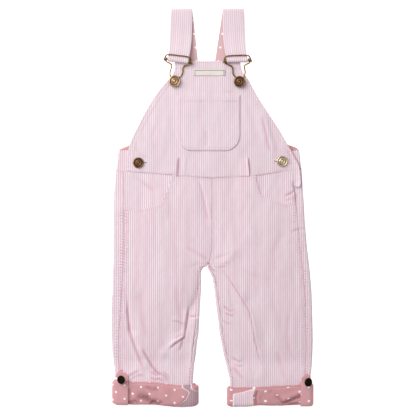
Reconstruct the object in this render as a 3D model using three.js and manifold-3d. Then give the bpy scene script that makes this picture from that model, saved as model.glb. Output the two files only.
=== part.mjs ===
// Kids bib overalls, laid flat and face up, with the straps buckled and the cuffs turned up.
// Millimetres. +X is to the right as one looks down at them, +Y runs from the cuffs to the straps,
// +Z is up, and the back of the cloth lies on the plane z = 0.
import * as THREE from 'three';
import { mergeVertices } from 'three/addons/utils/BufferGeometryUtils.js';
import Module from 'manifold-3d';

// Walls of the cloth
const SEAM_GAP = 0.3;
const PANEL_WALL = 1.6;
const BIB_WALL = 1.8;
const FACING_WALL = 1.3;
const PATCH_WALL = 1.2;
const LABEL_WALL = 1.0;
const STRAP_WALL = 1.8;
const CUFF_WALL = 4.2;

// Main sizes
const LEG_END = -292;
const LEG_HEIGHT = 6.4;
const BIB_TOP = 220;
const BACK_TOP = 125;
const SIDE_TOP = 86;
const STRAP_WIDTH = 31;
const STRAP_FOLD = 298;
const WIRE_RADIUS = 1.0;
const BUTTON_RADIUS = 8.4;
const TAB_BUTTON_RADIUS = 6.5;

// Columns of points across the larger panels
const FRONT_COLUMNS = 11;
const BIB_COLUMNS = 14;

// A table is a list of rows with named columns, from the top of the garment to its bottom
const table = (columns, rows) =>
  rows.map((row) => Object.fromEntries(columns.map((name, i) => [name, row[i]])));
const mix = (a, b, t) => a + (b - a) * t;
const clamp = (v) => Math.min(1, Math.max(0, v));
const smooth = (from, to, v) => {
  const t = clamp((v - from) / (to - from));
  return t * t * (3 - 2 * t);
};

// Reads a column at a place between two rows; key is the column that the rows are ordered by
function read(rows, place, column, key = 'y') {
  const falling = rows[0][key] > rows.at(-1)[key];
  const ordered = falling ? rows : [...rows].reverse();
  if (place >= ordered[0][key]) return ordered[0][column];
  for (let i = 1; i < ordered.length; i += 1) {
    const above = ordered[i - 1];
    const below = ordered[i];
    if (place >= below[key]) {
      const t = (place - below[key]) / (above[key] - below[key]);
      return mix(below[column], above[column], t);
    }
  }
  return ordered.at(-1)[column];
}

// Each leg: its outer edge, the outer seam and the inner seam where they lie on the face, and its
// inner edge. Above the crotch the last two are the centre seam.
const LEG_COLUMNS = ['y', 'outer', 'outseam', 'inseam', 'inner'];
const LEFT_LEG = table(LEG_COLUMNS, [
  [56, -144.5, -132, 0, 0],
  [32, -147, -132, 0, 0],
  [10, -148.5, -132, 0, 0],
  [-62, -148.5, -132.5, 0, 0],
  [-86, -148.5, -133, -5, -5],
  [-90, -149.5, -133, -17.5, -13],
  [-96, -150, -133.5, -21, -16.5],
  [-124, -150, -135, -21.5, -16.5],
  [-148, -151.5, -137, -23.5, -18],
  [-188, -151.5, -139.5, -25.5, -20],
  [-204, -150.5, -140, -28, -22.5],
  [-220, -150, -140.5, -29.5, -24],
  [-238, -147, -139, -32, -27],
  [-258, -145.5, -138, -33.5, -28.5],
  [LEG_END, -145.5, -138, -33.5, -28.5],
]);
const RIGHT_LEG = table(LEG_COLUMNS, [
  [56, 134.5, 121, 0, 0],
  [30, 136.5, 123, 0, 0],
  [8, 138, 125.5, 0, 0],
  [-20, 139.5, 128.5, 0, 0],
  [-62, 143, 132, 0, 0],
  [-86, 146, 135.5, -5, -5],
  [-90, 146.5, 136, -2.5, -7],
  [-96, 147, 136.5, 0.5, -4],
  [-106, 148, 137.5, 5, 0.5],
  [-124, 149.5, 139, 8, 3],
  [-148, 150.5, 140.5, 11, 6],
  [-188, 151.5, 141, 16, 11],
  [-204, 151.5, 141.5, 19, 14],
  [-220, 151, 141, 22, 17],
  [-238, 150, 140, 26.5, 21.5],
  [-258, 147, 139.5, 31.5, 26.5],
  [LEG_END, 147, 139.5, 31.5, 26.5],
]);

// The scooped pocket mouths, as rows of the trouser fronts
const LEFT_MOUTH = table(['y', 'x'], [
  [56, -60], [38, -64.5], [22, -69.5], [11, -74], [5, -79.5], [1, -86], [-2, -101], [-5, -122],
]);
const RIGHT_MOUTH = table(['y', 'x'], [
  [56, 65], [38, 68.5], [27, 71.5], [17, 77], [11, 92], [6.5, 109], [3.5, 121],
]);
const FRONT_LOWER_ROWS = [
  -34, -48, -62, -75, -86, -90, -96, -106, -124, -136, -148, -162, -175, -188, -204, -220, -230, -238,
  -245, -251, -258, LEG_END,
];
const BACK_LOWER_ROWS = [
  -62, -86, -90, -96, -106, -124, -148, -188, -204, -220, -238, -245, -251, -258, LEG_END,
];
const LEGS = [
  {
    name: 'left',
    side: -1,
    edges: LEFT_LEG,
    mouth: LEFT_MOUTH,
    frontRows: [56, 38, 22, 11, 5, 1, -2, -5, -7, -20, ...FRONT_LOWER_ROWS],
    backRows: [56, 32, 10, -20, ...BACK_LOWER_ROWS],
  },
  {
    name: 'right',
    side: 1,
    edges: RIGHT_LEG,
    mouth: RIGHT_MOUTH,
    frontRows: [56, 38, 27, 17, 11, 6.5, 3.5, 1.5, -8, -20, ...FRONT_LOWER_ROWS],
    backRows: [56, 30, 8, -20, ...BACK_LOWER_ROWS],
  },
];

// The waist seam, and the bib's two side edges
const WAIST = table(['x', 'y'], [
  [-150, 55], [-127.5, 54], [-108, 52.5], [-54, 48.75], [-3, 44.25], [30, 45.75], [58.5, 46.65],
  [94.5, 52.5], [130.5, 57.75], [150, 58],
]);
const BIB_EDGES = table(['y', 'left', 'right'], [
  [220, -56, 42], [203, -56, 45], [194, -63.75, 54], [176, -79.5, 63], [158, -91.5, 73.5],
  [140, -102, 85.5], [122, -111, 97.5], [104, -120, 108], [88, -125.5, 117], [72, -127, 126],
  [54, -127.5, 134],
]);
const waistAt = (x) => read(WAIST, x, 'y', 'x');

// The side opening runs on below the waist at the right, so the bib ends in a tongue there
const TONGUE = { from: 117, to: 124, bottom: 31 };

// How high the face of the garment lies, and how much it swells between its seams
const FACE = table(['y', 'height', 'crown'], [
  [230, 4.6, 0.3], [180, 4.8, 0.6], [130, 5.4, 0.8], [90, 6.6, 0.8], [50, 6.5, 1.0], [0, 6.4, 1.6],
  [-86, 6.4, 1.8], [-150, 6.4, 2.4], [-220, 6.4, 1.6], [-245, 6.4, 0.4], [-256, 6.4, 0],
]);

// The legs climb into their cuffs, which are thick with folded cloth
const CUFF_CLIMB = { from: -240, to: -256, rise: CUFF_WALL + SEAM_GAP };

// The largest folds: straight ridges (rise above nought) and troughs, each with a soft round section
const FOLDS = table(['x1', 'y1', 'x2', 'y2', 'width', 'rise'], [
  // right leg: the long fold from the crotch to the shin
  [14, -96, 44, -136, 8, 1.8], [44, -136, 66, -190, 9, 2.2], [66, -190, 80, -240, 8, 1.8],
  [28, -92, 60, -136, 7, -1.6], [60, -136, 82, -190, 7, -1.8],
  // left leg: the knee folds from the inner seam
  [-30, -148, -40, -182, 7, -1.8], [-40, -182, -66, -212, 7, -2.0], [-26, -170, -50, -200, 6, 2.2],
  [-52, -196, -72, -218, 6, 2.4], [-18, -160, -28, -236, 5, 1.4],
  // left leg: the shin creases from the outer seam
  [-126, -140, -122, -184, 7, -1.6], [-122, -184, -106, -226, 7, -1.8],
  [-106, -212, -88, -240, 6, 2.0], [-116, -196, -100, -236, 6, 2.2],
  // trunk: the drag lines from the crotch, and the fly crease
  [10, -88, 40, -62, 7, 1.6], [-14, -84, -42, -60, 7, 1.4], [-20, 40, -8, -16, 6, -1.0],
  // bib: the long soft fold at the right, and the dent in the middle of the pocket
  [74, 136, 90, 80, 8, 1.6], [88, 140, 104, 84, 7, -0.8], [-8, 116, -9, 88, 7, -0.9],
]);

function foldHeight(x, y) {
  let height = 0;
  for (const fold of FOLDS) {
    const dx = fold.x2 - fold.x1;
    const dy = fold.y2 - fold.y1;
    const along = ((x - fold.x1) * dx + (y - fold.y1) * dy) / (dx * dx + dy * dy);
    const t = clamp(along);
    const away = Math.hypot(x - fold.x1 - t * dx, y - fold.y1 - t * dy);
    height += fold.rise * Math.exp(-((away / fold.width) ** 2));
  }
  return height;
}

const climb = (y) => CUFF_CLIMB.rise * smooth(CUFF_CLIMB.from, CUFF_CLIMB.to, y);

// How far a place lies between the seams on its two sides, from 0 to 1
function between(x, y) {
  if (y > waistAt(x)) {
    const left = read(BIB_EDGES, y, 'left');
    return clamp((x - left) / (read(BIB_EDGES, y, 'right') - left));
  }
  const leg = x < read(LEFT_LEG, y, 'inseam') + 0.01 ? LEFT_LEG : RIGHT_LEG;
  const outseam = read(leg, y, 'outseam');
  return clamp((x - outseam) / (read(leg, y, 'inseam') - outseam));
}

// Height of the upper face of the front panels at a place
function faceHeight(x, y) {
  const swell = read(FACE, y, 'crown') * Math.sin(Math.PI * between(x, y));
  const calm = 1 - smooth(-236, -250, y);
  return read(FACE, y, 'height') + swell + foldHeight(x, y) * calm + climb(y);
}

// A closed solid between two grids of points, rows by columns; ring joins the last row to the first
function slab(outer, inner, ring = false) {
  const rows = outer.length;
  const columns = outer[0].length;
  const points = [...outer.flat(), ...inner.flat()];
  const skin = (layer, r, c) => layer * rows * columns + (r % rows) * columns + c;
  const index = [];
  const quad = (a, b, c, d) => index.push(a, b, c, a, c, d);
  const lastRow = ring ? rows : rows - 1;
  for (let r = 0; r < lastRow; r += 1) {
    for (let c = 0; c < columns - 1; c += 1) {
      quad(skin(0, r, c), skin(0, r, c + 1), skin(0, r + 1, c + 1), skin(0, r + 1, c));
      quad(skin(1, r, c), skin(1, r + 1, c), skin(1, r + 1, c + 1), skin(1, r, c + 1));
    }
    quad(skin(0, r, 0), skin(0, r + 1, 0), skin(1, r + 1, 0), skin(1, r, 0));
    const end = columns - 1;
    quad(skin(0, r, end), skin(1, r, end), skin(1, r + 1, end), skin(0, r + 1, end));
  }
  if (!ring) {
    for (let c = 0; c < columns - 1; c += 1) {
      quad(skin(0, 0, c), skin(1, 0, c), skin(1, 0, c + 1), skin(0, 0, c + 1));
      const end = rows - 1;
      quad(skin(0, end, c), skin(0, end, c + 1), skin(1, end, c + 1), skin(1, end, c));
    }
  }
  return outward(points, index);
}

// A solid whose section, a closed loop of points, is carried round a closed path
function torus(sections) {
  const count = sections[0].length;
  const index = [];
  for (let r = 0; r < sections.length; r += 1) {
    for (let c = 0; c < count; c += 1) {
      const here = r * count;
      const next = ((r + 1) % sections.length) * count;
      const d = (c + 1) % count;
      index.push(here + c, here + d, next + d, here + c, next + d, next + c);
    }
  }
  return outward(sections.flat(), index);
}

// Makes the geometry, with its triangles turned to face outwards
function outward(points, index) {
  let volume = 0;
  for (let i = 0; i < index.length; i += 3) {
    const [a, b, c] = [points[index[i]], points[index[i + 1]], points[index[i + 2]]];
    volume += a[0] * (b[1] * c[2] - b[2] * c[1]);
    volume += a[1] * (b[2] * c[0] - b[0] * c[2]);
    volume += a[2] * (b[0] * c[1] - b[1] * c[0]);
  }
  if (volume < 0) {
    for (let i = 0; i < index.length; i += 3) [index[i], index[i + 1]] = [index[i + 1], index[i]];
  }
  const geometry = new THREE.BufferGeometry();
  geometry.setAttribute('position', new THREE.Float32BufferAttribute(points.flat(), 3));
  geometry.setIndex(index);
  return geometry;
}

// A sheet that follows a height: rows of [x, y] places, its wall below that height
function sheet(places, height, wall) {
  const upper = places.map((row) => row.map(([x, y]) => [x, y, height(x, y)]));
  const lower = upper.map((row) => row.map(([x, y, z]) => [x, y, z - wall]));
  return slab(upper, lower);
}

const steps = (count) => Array.from({ length: count + 1 }, (_, i) => i / count);

// Joining and cutting
const wasm = await Module();
wasm.setup();

function toManifold(geometry) {
  const bare = geometry.clone();
  bare.deleteAttribute('normal');
  bare.deleteAttribute('uv');
  const merged = mergeVertices(bare, 1e-4);
  const mesh = new wasm.Mesh({
    numProp: 3,
    vertProperties: new Float32Array(merged.attributes.position.array),
    triVerts: new Uint32Array(merged.index.array),
  });
  return new wasm.Manifold(mesh);
}

function fromManifold(solid) {
  const mesh = solid.getMesh();
  const geometry = new THREE.BufferGeometry();
  geometry.setAttribute('position', new THREE.Float32BufferAttribute(mesh.vertProperties, 3));
  geometry.setIndex([...mesh.triVerts]);
  return geometry;
}

// Materials
const cloth = () => new THREE.MeshStandardMaterial({ color: '#ecd3dc', roughness: 0.9, metalness: 0 });
const lining = () => new THREE.MeshStandardMaterial({ color: '#d2a4a8', roughness: 0.9, metalness: 0 });
const brass = () => new THREE.MeshStandardMaterial({ color: '#795944', roughness: 0.35, metalness: 1 });
const ribbon = () => new THREE.MeshStandardMaterial({ color: '#efece4', roughness: 0.8, metalness: 0 });

const overalls = new THREE.Group();

function addPiece(name, geometry, material) {
  const mesh = new THREE.Mesh(geometry, material);
  mesh.name = name;
  overalls.add(mesh);
  return mesh;
}

// Above the crease of the hip, the rows of the trousers bend with the waist seam
const bentRow = (x, row) => (row > 0 ? (row * (waistAt(x) - SEAM_GAP / 2)) / 56 : row);

// Trouser fronts, from the outer seam or the pocket mouth to the inner or centre seam
function legFront(leg) {
  const mouthEnd = leg.mouth.at(-1).y;
  const places = leg.frontRows.map((row) => {
    const seam = row >= mouthEnd ? read(leg.mouth, row, 'x') : read(leg.edges, row, 'outseam');
    const start = seam - (leg.side * SEAM_GAP) / 2;
    const end = read(leg.edges, row, 'inseam') + (leg.side * SEAM_GAP) / 2;
    return steps(FRONT_COLUMNS).map((t) => {
      const x = mix(start, end, t);
      return [x, bentRow(x, row)];
    });
  });
  return sheet(places, faceHeight, PANEL_WALL);
}

// Hip facings, which lie under the pocket mouths and run out to the side seam
const FACING_TUCK = 7;
const FACING_ROWS = [56, 42, 28, 14, 4, -4];
function facingHeight(x, y) {
  return faceHeight(x, y) - PANEL_WALL - SEAM_GAP;
}
function pocketFacing(leg) {
  const low = leg.mouth.at(-1).y - FACING_TUCK - 2;
  const places = FACING_ROWS.map((row, i) => {
    const place = i === FACING_ROWS.length - 1 ? low : row;
    const seam = read(leg.edges, place, 'outseam') - leg.side * SEAM_GAP;
    const tuck = Math.abs(read(leg.mouth, place, 'x')) - FACING_TUCK;
    const start = leg.side * Math.min(tuck, Math.abs(leg.mouth[0].x) + 8);
    return steps(6).map((t) => {
      const x = mix(start, seam, t);
      return [x, bentRow(x, place)];
    });
  });
  return sheet(places, facingHeight, FACING_WALL);
}

// A rounded edge, from its top to the floor, as five points of a half circle
const ARC = [90, 45, 0, -45, -90].map((degrees) => (degrees * Math.PI) / 180);
function roundedEdge(edge, facing, low, high, inset) {
  const radius = (high - low) / 2;
  const centreX = edge - facing * radius;
  const centreZ = (high + low) / 2;
  return ARC.map((angle) => [
    centreX + facing * (radius - inset) * Math.cos(angle),
    centreZ + (radius - inset) * Math.sin(angle),
  ]);
}

// Trouser backs: over the outer edge, along the floor and up the inner edge to the seams on the face
const CENTRE_REACH = 16;
const CROTCH = { row: -87, eased: -92, gap: 0.9 };
const SIDE_DROP = { height: 4.5, from: -8, to: 22 };
function backSection(leg, row, inset) {
  const low = climb(row);
  const seamX = read(leg.edges, row, 'outseam');
  const drop = smooth(SIDE_DROP.from, SIDE_DROP.to, row);
  const high = mix(faceHeight(seamX, row), SIDE_DROP.height, drop);
  const outerArc = roundedEdge(read(leg.edges, row, 'outer'), leg.side, low, high, inset);
  const section = [[seamX + (leg.side * SEAM_GAP) / 2, high - inset], ...outerArc];
  const floorStart = outerArc.at(-1)[0];
  const floor = low + inset;
  if (row < CROTCH.row) {
    const inseam = read(leg.edges, row, 'inseam');
    const innerHigh = faceHeight(inseam, row);
    const innerArc = roundedEdge(read(leg.edges, row, 'inner'), -leg.side, low, innerHigh, inset);
    const floorEnd = innerArc.at(-1)[0];
    for (let i = 1; i < 5; i += 1) section.push([mix(floorStart, floorEnd, i / 5), floor]);
    section.push(...innerArc.reverse());
    const gap = row > CROTCH.eased ? CROTCH.gap : SEAM_GAP / 2;
    section.push([inseam - leg.side * gap, innerHigh - inset]);
    return section;
  }
  const centre = read(leg.edges, row, 'inseam') + (leg.side * SEAM_GAP) / 2;
  const near = centre + leg.side * CENTRE_REACH;
  for (let i = 1; i < 6; i += 1) section.push([mix(floorStart, near, i / 5), floor]);
  for (let i = 1; i < 6; i += 1) section.push([mix(near, centre, i / 5), floor]);
  return section;
}
function legBack(leg) {
  const grid = (inset) =>
    leg.backRows.map((row) => backSection(leg, row, inset).map(([x, z]) => [x, bentRow(x, row), z]));
  return slab(grid(0), grid(PANEL_WALL));
}

// Bib: from the waist seam to its hem
const BIB_ROWS = steps(15);
function bibPlaces() {
  return BIB_ROWS.map((v) => {
    const along = mix(54, BIB_TOP, v);
    const left = read(BIB_EDGES, along, 'left');
    const right = read(BIB_EDGES, along, 'right');
    return steps(BIB_COLUMNS).map((u) => {
      const x = mix(left, right, u);
      const tongue = smooth(TONGUE.from, TONGUE.to, x);
      const bottom = mix(waistAt(x) + SEAM_GAP / 2, TONGUE.bottom, tongue);
      return [x, mix(bottom, BIB_TOP, v)];
    });
  });
}

// Buttonholes, cut right through the bib beside the side buttons
const BUTTONHOLE = { length: 15, height: 3.6 };
const SIDE_BUTTONS = table(['side', 'x', 'y', 'holeX'], [
  [-1, -110.25, 67, -105.5],
  [1, 105.3, 69.3, 100.5],
]);
function bibWithHoles() {
  const bibHeight = (x, y) => Math.max(faceHeight(x, y), read(FACE, Math.max(y, 56), 'height'));
  let solid = toManifold(sheet(bibPlaces(), bibHeight, BIB_WALL));
  for (const button of SIDE_BUTTONS) {
    const hole = new THREE.BoxGeometry(BUTTONHOLE.length, BUTTONHOLE.height, 20);
    hole.translate(button.holeX, button.y, 5);
    solid = solid.subtract(toManifold(hole));
  }
  return fromManifold(solid);
}

// Bib pocket, with a round bottom
const POCKET = { centre: -5.2, half: 48.1, top: 168.75, bottom: 84.3, corner: 25 };
const POCKET_ROWS = [0, 1.5, 5, 11, 18, 25, 40, 55, 70, POCKET.top - POCKET.bottom];
const PATCH_GAP = 0.5;
const onFace = (wall) => (x, y) => faceHeight(x, y) + PATCH_GAP + wall;
function bibPocket() {
  const places = POCKET_ROWS.map((up) => {
    const drop = Math.max(0, POCKET.corner - up);
    const half = POCKET.half - POCKET.corner + Math.sqrt(POCKET.corner ** 2 - drop ** 2);
    return steps(8).map((t) => [POCKET.centre + mix(-half, half, t), POCKET.bottom + up]);
  });
  return sheet(places, onFace(PATCH_WALL), PATCH_WALL);
}

// Label, a short ribbon on the bib's hem
const LABEL = { left: -27, right: 19.5, top: 207.75, bottom: 198 };
function label() {
  const rows = steps(2).map((v) => mix(LABEL.bottom, LABEL.top, v));
  const places = rows.map((y) => steps(6).map((t) => [mix(LABEL.left, LABEL.right, t), y]));
  return sheet(places, onFace(LABEL_WALL), LABEL_WALL);
}

// Belt loops, arched over the waist seam
const BELT_LOOP = { width: 13.5, top: 75, bottom: 47, arch: 2.2 };
function beltLoop(left) {
  const rows = steps(6).map((v) => mix(BELT_LOOP.bottom, BELT_LOOP.top, v));
  const places = rows.map((y) => steps(2).map((t) => [left + BELT_LOOP.width * t, y]));
  const height = (x, y) => {
    const v = (y - BELT_LOOP.bottom) / (BELT_LOOP.top - BELT_LOOP.bottom);
    return onFace(PATCH_WALL)(x, y) + BELT_LOOP.arch * Math.sin(Math.PI * v);
  };
  return sheet(places, height, PATCH_WALL);
}

// Back bib: flat on the floor, its sides curled up, its top edge rising to the straps
const BACK_EDGES = table(['y', 'left', 'right', 'curl'], [
  [BACK_TOP, -42.5, 21.5, 0], [112, -72, 52, 0], [101, -104, 88, 0], [93, -126, 117, 0],
  [88, -139, 128, 0], [SIDE_TOP - 1, -141, 130.5, 1], [70, -142.3, 132.5, 1], [52, -145, 134.7, 1],
]);
const FOLD_RADIUS = SIDE_DROP.height / 2;
function backBib() {
  const grid = (inset) =>
    BACK_EDGES.map((row, i) => {
      const radius = FOLD_RADIUS * row.curl;
      const curl = (facing, edge) => {
        const centre = edge - facing * radius;
        const reach = Math.max(0, radius - inset * row.curl);
        const points = [0, -45, -90].map((degrees) => {
          const angle = (degrees * Math.PI) / 180;
          const low = radius > 0 ? FOLD_RADIUS + reach * Math.sin(angle) : inset;
          return [centre + facing * reach * Math.cos(angle), low];
        });
        return radius > 0 ? points : [0, 1, 2].map((k) => [edge - facing * k * 1.5, inset]);
      };
      const left = curl(-1, row.left);
      const right = curl(1, row.right).reverse();
      const middle = steps(8).slice(1, -1).map((t) => [mix(left[2][0], right[0][0], t), inset]);
      const bottomRow = i === BACK_EDGES.length - 1;
      return [...left, ...middle, ...right].map(([x, z]) => {
        const lift = row.curl && z > FOLD_RADIUS - SEAM_GAP / 2 ? FOLD_RADIUS - SEAM_GAP / 2 : z;
        return [x, bottomRow ? waistAt(x) + SEAM_GAP / 2 : row.y, lift];
      });
    });
  return slab(grid(0), grid(PANEL_WALL));
}

// Button stands: the top layer at each side opening, from the folded edge to below the bib's corner
const PLACKET_ROWS = [SIDE_TOP, 74, 62, 52];
const PLACKET_INNER = { '-1': -97, 1: 92 };
function sidePlacket(side) {
  const edges = side < 0 ? 'left' : 'right';
  const grid = (inset) =>
    PLACKET_ROWS.map((row, i) => {
      const edge = read(BACK_EDGES, Math.min(row, SIDE_TOP - 1), edges);
      const centre = edge - side * FOLD_RADIUS;
      const reach = FOLD_RADIUS - inset;
      const arc = [0, 45, 90].map((degrees) => {
        const angle = (degrees * Math.PI) / 180;
        const z = FOLD_RADIUS + reach * Math.sin(angle);
        return [centre + side * reach * Math.cos(angle), Math.max(z, FOLD_RADIUS + SEAM_GAP / 2)];
      });
      const top = SIDE_DROP.height - inset;
      const flat = steps(4).slice(1).map((t) => [mix(centre, PLACKET_INNER[side], t), top]);
      const bottomRow = i === PLACKET_ROWS.length - 1;
      return [...arc, ...flat].map(([x, z]) => [x, bottomRow ? waistAt(x) + SEAM_GAP / 2 : row, z]);
    });
  return slab(grid(0), grid(PANEL_WALL));
}

// Straps: up the back from the back bib, folded over at the top, down to the buckle, round its bar
// and back up behind themselves as a short sewn tail
const BAR = { height: 8.4, radius: 1.1, half: 19, knob: 2.7 };
const STRAPS = table(['side', 'rootX', 'foldX', 'barX', 'barY', 'tilt'], [
  [-1, -26.6, -46.2, -51.2, 219.9, -0.126],
  [1, 5.6, 33.2, 38.2, 219.9, 0.031],
]);
const LOOP = BAR.radius + SEAM_GAP + STRAP_WALL / 2;
const LAID = STRAP_WALL / 2;
const STRAP_PATH = table(['run', 'y', 'z'], [
  ['back', BACK_TOP + SEAM_GAP, LAID], ['back', 150, LAID], ['back', 180, LAID],
  ['back', 210, LAID], ['back', 240, LAID], ['back', 265, LAID], ['back', 284, LAID + 0.1],
  ['back', 293.4, 1.3], ['fold', 296.6, 2.5], ['fold', 297.5, 3.9], ['fold', 296.4, 5.2],
  ['front', 293.4, 5.7], ['front', 284, 5.0], ['front', 272, 3.8], ['front', 262, 3.6],
  ['front', 254, 4.7], ['front', 246, 6.6], ['front', 238, 8.2], ['front', 231, 8.9],
  ['front', 225, 9.6],
  ['loop', 219.9, BAR.height + LOOP],
  ['loop', 219.9 - LOOP * Math.SQRT1_2, BAR.height + LOOP * Math.SQRT1_2],
  ['loop', 219.9 - LOOP, BAR.height],
  ['loop', 219.9 - LOOP * Math.SQRT1_2, BAR.height - LOOP * Math.SQRT1_2],
  ['loop', 219.9, BAR.height - LOOP],
  ['tail', 225, 6.1], ['tail', 231, 6.0], ['tail', 238, 5.6],
]);
function strap({ rootX, foldX, barX, barY, tilt }) {
  const centre = ({ run, y }) => {
    if (run === 'back') return mix(rootX, foldX, (y - BACK_TOP) / (STRAP_FOLD - BACK_TOP));
    return mix(barX, foldX, clamp((y - barY) / (STRAP_FOLD - barY)));
  };
  const middle = STRAP_PATH.map((place, i) => {
    const before = STRAP_PATH[Math.max(0, i - 1)];
    const after = STRAP_PATH[Math.min(STRAP_PATH.length - 1, i + 1)];
    const length = Math.hypot(after.y - before.y, after.z - before.z);
    const onBack = place.run === 'back' || place.run === 'fold';
    return {
      x: centre(place),
      y: place.y,
      z: place.z,
      normalY: -(after.z - before.z) / length,
      normalZ: (after.y - before.y) / length,
      turn: onBack ? 0 : tilt * (1 - smooth(238, 264, place.y)),
    };
  });
  const grid = (offset) =>
    middle.map((m) =>
      steps(3).map((t) => {
        const across = mix(-STRAP_WIDTH / 2, STRAP_WIDTH / 2, t);
        return [m.x + across, m.y + offset * m.normalY + across * m.turn, m.z + offset * m.normalZ];
      }),
    );
  return slab(grid(STRAP_WALL / 2), grid(-STRAP_WALL / 2));
}

// A round wire along a curve through its points, closed at both ends
function wire(rows, radius, count) {
  const path = new THREE.CatmullRomCurve3(rows.map(({ x, y, z }) => new THREE.Vector3(x, y, z)));
  const section = new THREE.Shape();
  section.absarc(0, 0, radius, 0, Math.PI * 2, false);
  return new THREE.ExtrudeGeometry(section, { steps: count, curveSegments: 3, extrudePath: path });
}

// Buckles: one wire from knob to knob round the button's shank, a second over the strap, and the bar
const NECK_COLUMNS = ['x', 'y', 'z'];
const LEFT_NECK = table(NECK_COLUMNS, [
  [-70.05, 222.3, 8.4], [-69, 218.2, 8.2], [-65.8, 216.2, 7.8], [-61.6, 214.4, 7.1],
  [-62.4, 206.5, 6.5], [-63, 202.2, 6.3], [-61.4, 196.6, 6.3], [-60.7, 189.6, 6.3],
  [-59.4, 185.9, 6.3], [-56.1, 184.5, 6.3], [-52.8, 185.9, 6.3], [-51.4, 189.6, 6.3],
  [-50.4, 193.9, 6.3], [-47.2, 197, 6.3], [-44.2, 202, 6.4], [-43.9, 207.6, 6.7],
  [-40.6, 211.8, 7.3], [-36.6, 212.5, 7.9], [-33, 214.2, 8.2], [-32.3, 217.5, 8.4],
]);
const RIGHT_NECK = table(NECK_COLUMNS, [
  [19.2, 219.3, 8.4], [20.2, 215.4, 8.2], [24.2, 213.8, 7.7], [29.8, 211, 7.0],
  [30.8, 205, 6.5], [31.2, 201, 6.3], [34.6, 195.6, 6.3], [36.6, 189.4, 6.3],
  [37.9, 185.1, 6.3], [41.25, 183.6, 6.3], [44.6, 185.1, 6.3], [45.9, 189.4, 6.3],
  [46.9, 195.4, 6.3], [49.4, 202, 6.4], [49, 208.5, 6.7], [50.4, 213.6, 7.4],
  [55.6, 216.2, 8.1], [57.2, 220.5, 8.4],
]);
const OVER_STRAP = table(['u', 'v', 'z'], [
  [-19, 0, 8.4], [-19.4, 3.4, 9.6], [-17.4, 6.8, 11.4], [-9, 7.4, 11.7], [0, 7.4, 11.7],
  [9, 7.4, 11.7], [17.2, 6.8, 11.4], [19.4, 3.4, 9.6], [19, 0, 8.4],
]);
function buckle({ barX, barY, tilt }, neck) {
  const angle = Math.atan(tilt);
  const local = ({ u, v, z }) => ({
    x: barX + u * Math.cos(angle) - v * Math.sin(angle),
    y: barY + u * Math.sin(angle) + v * Math.cos(angle),
    z,
  });
  const bar = new THREE.CylinderGeometry(BAR.radius, BAR.radius, 2 * BAR.half, 8);
  bar.rotateZ(Math.PI / 2 + angle);
  bar.translate(barX, barY, BAR.height);
  let solid = toManifold(bar);
  for (const side of [-1, 1]) {
    const knob = new THREE.SphereGeometry(BAR.knob, 10, 7);
    knob.rotateZ(Math.PI / 2 + angle);
    const { x, y, z } = local({ u: side * BAR.half, v: 0, z: BAR.height });
    knob.translate(x, y, z);
    solid = solid.add(toManifold(knob));
  }
  solid = solid.add(toManifold(wire(neck, WIRE_RADIUS, 40)));
  solid = solid.add(toManifold(wire(OVER_STRAP.map(local), WIRE_RADIUS, 18)));
  return fromManifold(solid);
}

// Shank buttons, turned about their own axis: a foot, a shank and a domed head with a rolled rim
function button(radius, shankRadius, shankHeight) {
  const head = shankHeight + 2.4;
  const profile = [
    [0, 0],
    [shankRadius, 0],
    [shankRadius, shankHeight],
    [radius * 0.9, shankHeight],
    [radius, shankHeight + 0.9],
    [radius * 0.94, head - 0.5],
    [radius * 0.8, head],
    [radius * 0.62, head - 0.6],
    [0, head - 0.2],
  ].map(([r, h]) => new THREE.Vector2(r, h));
  const geometry = new THREE.LatheGeometry(profile, 16);
  geometry.rotateX(Math.PI / 2);
  return fromManifold(toManifold(geometry));
}
const BIB_BUTTONS = table(['side', 'x', 'y'], [[-1, -56.1, 189.2], [1, 41.25, 188.25]]);
const BIB_SHANK = { radius: 3.2, height: 3.0 };

// Cuffs: each a thick rolled ring round the end of its leg, with its layers stepped at the top edge
const CUFF_COLUMNS = ['x', 'top', 'bottom'];
const CUFFS = [
  {
    side: -1,
    outer: -145.8,
    inner: -28.2,
    innerWall: 8.7,
    edges: table(CUFF_COLUMNS, [
      [-150, -259.5, -293.5], [-132, -261, -294], [-112, -262.5, -294.5], [-82.5, -263.5, -295],
      [-60, -266, -297], [-45, -268, -298.4], [-28, -265, -297.4], [-19.5, -264.5, -295],
    ]),
  },
  {
    side: 1,
    outer: 147.3,
    inner: 26.2,
    innerWall: 4.4,
    edges: table(CUFF_COLUMNS, [
      [21.8, -267.5, -296], [31.5, -271.5, -298.2], [57, -270.5, -297.4], [69, -270, -295],
      [94.5, -268.5, -296], [132, -267, -294.8], [151.5, -266, -293.6],
    ]),
  },
];
const CUFF_INSIDE = { low: CUFF_WALL, high: CUFF_WALL + 2 * SEAM_GAP + LEG_HEIGHT };
const CUFF_SECTION = table(['depth', 'from', 'inset'], [
  [0, 'bottom', 2.2], [0.4, 'bottom', 0], [0.8, 'bottom', 0.7], [1, 'bottom', 3.2],
  [1, 'top', 3.2], [0.84, 'top', 0.8], [0.5, 'top', 0.3], [0.46, 'top', -2], [0, 'top', -2],
]);
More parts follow.
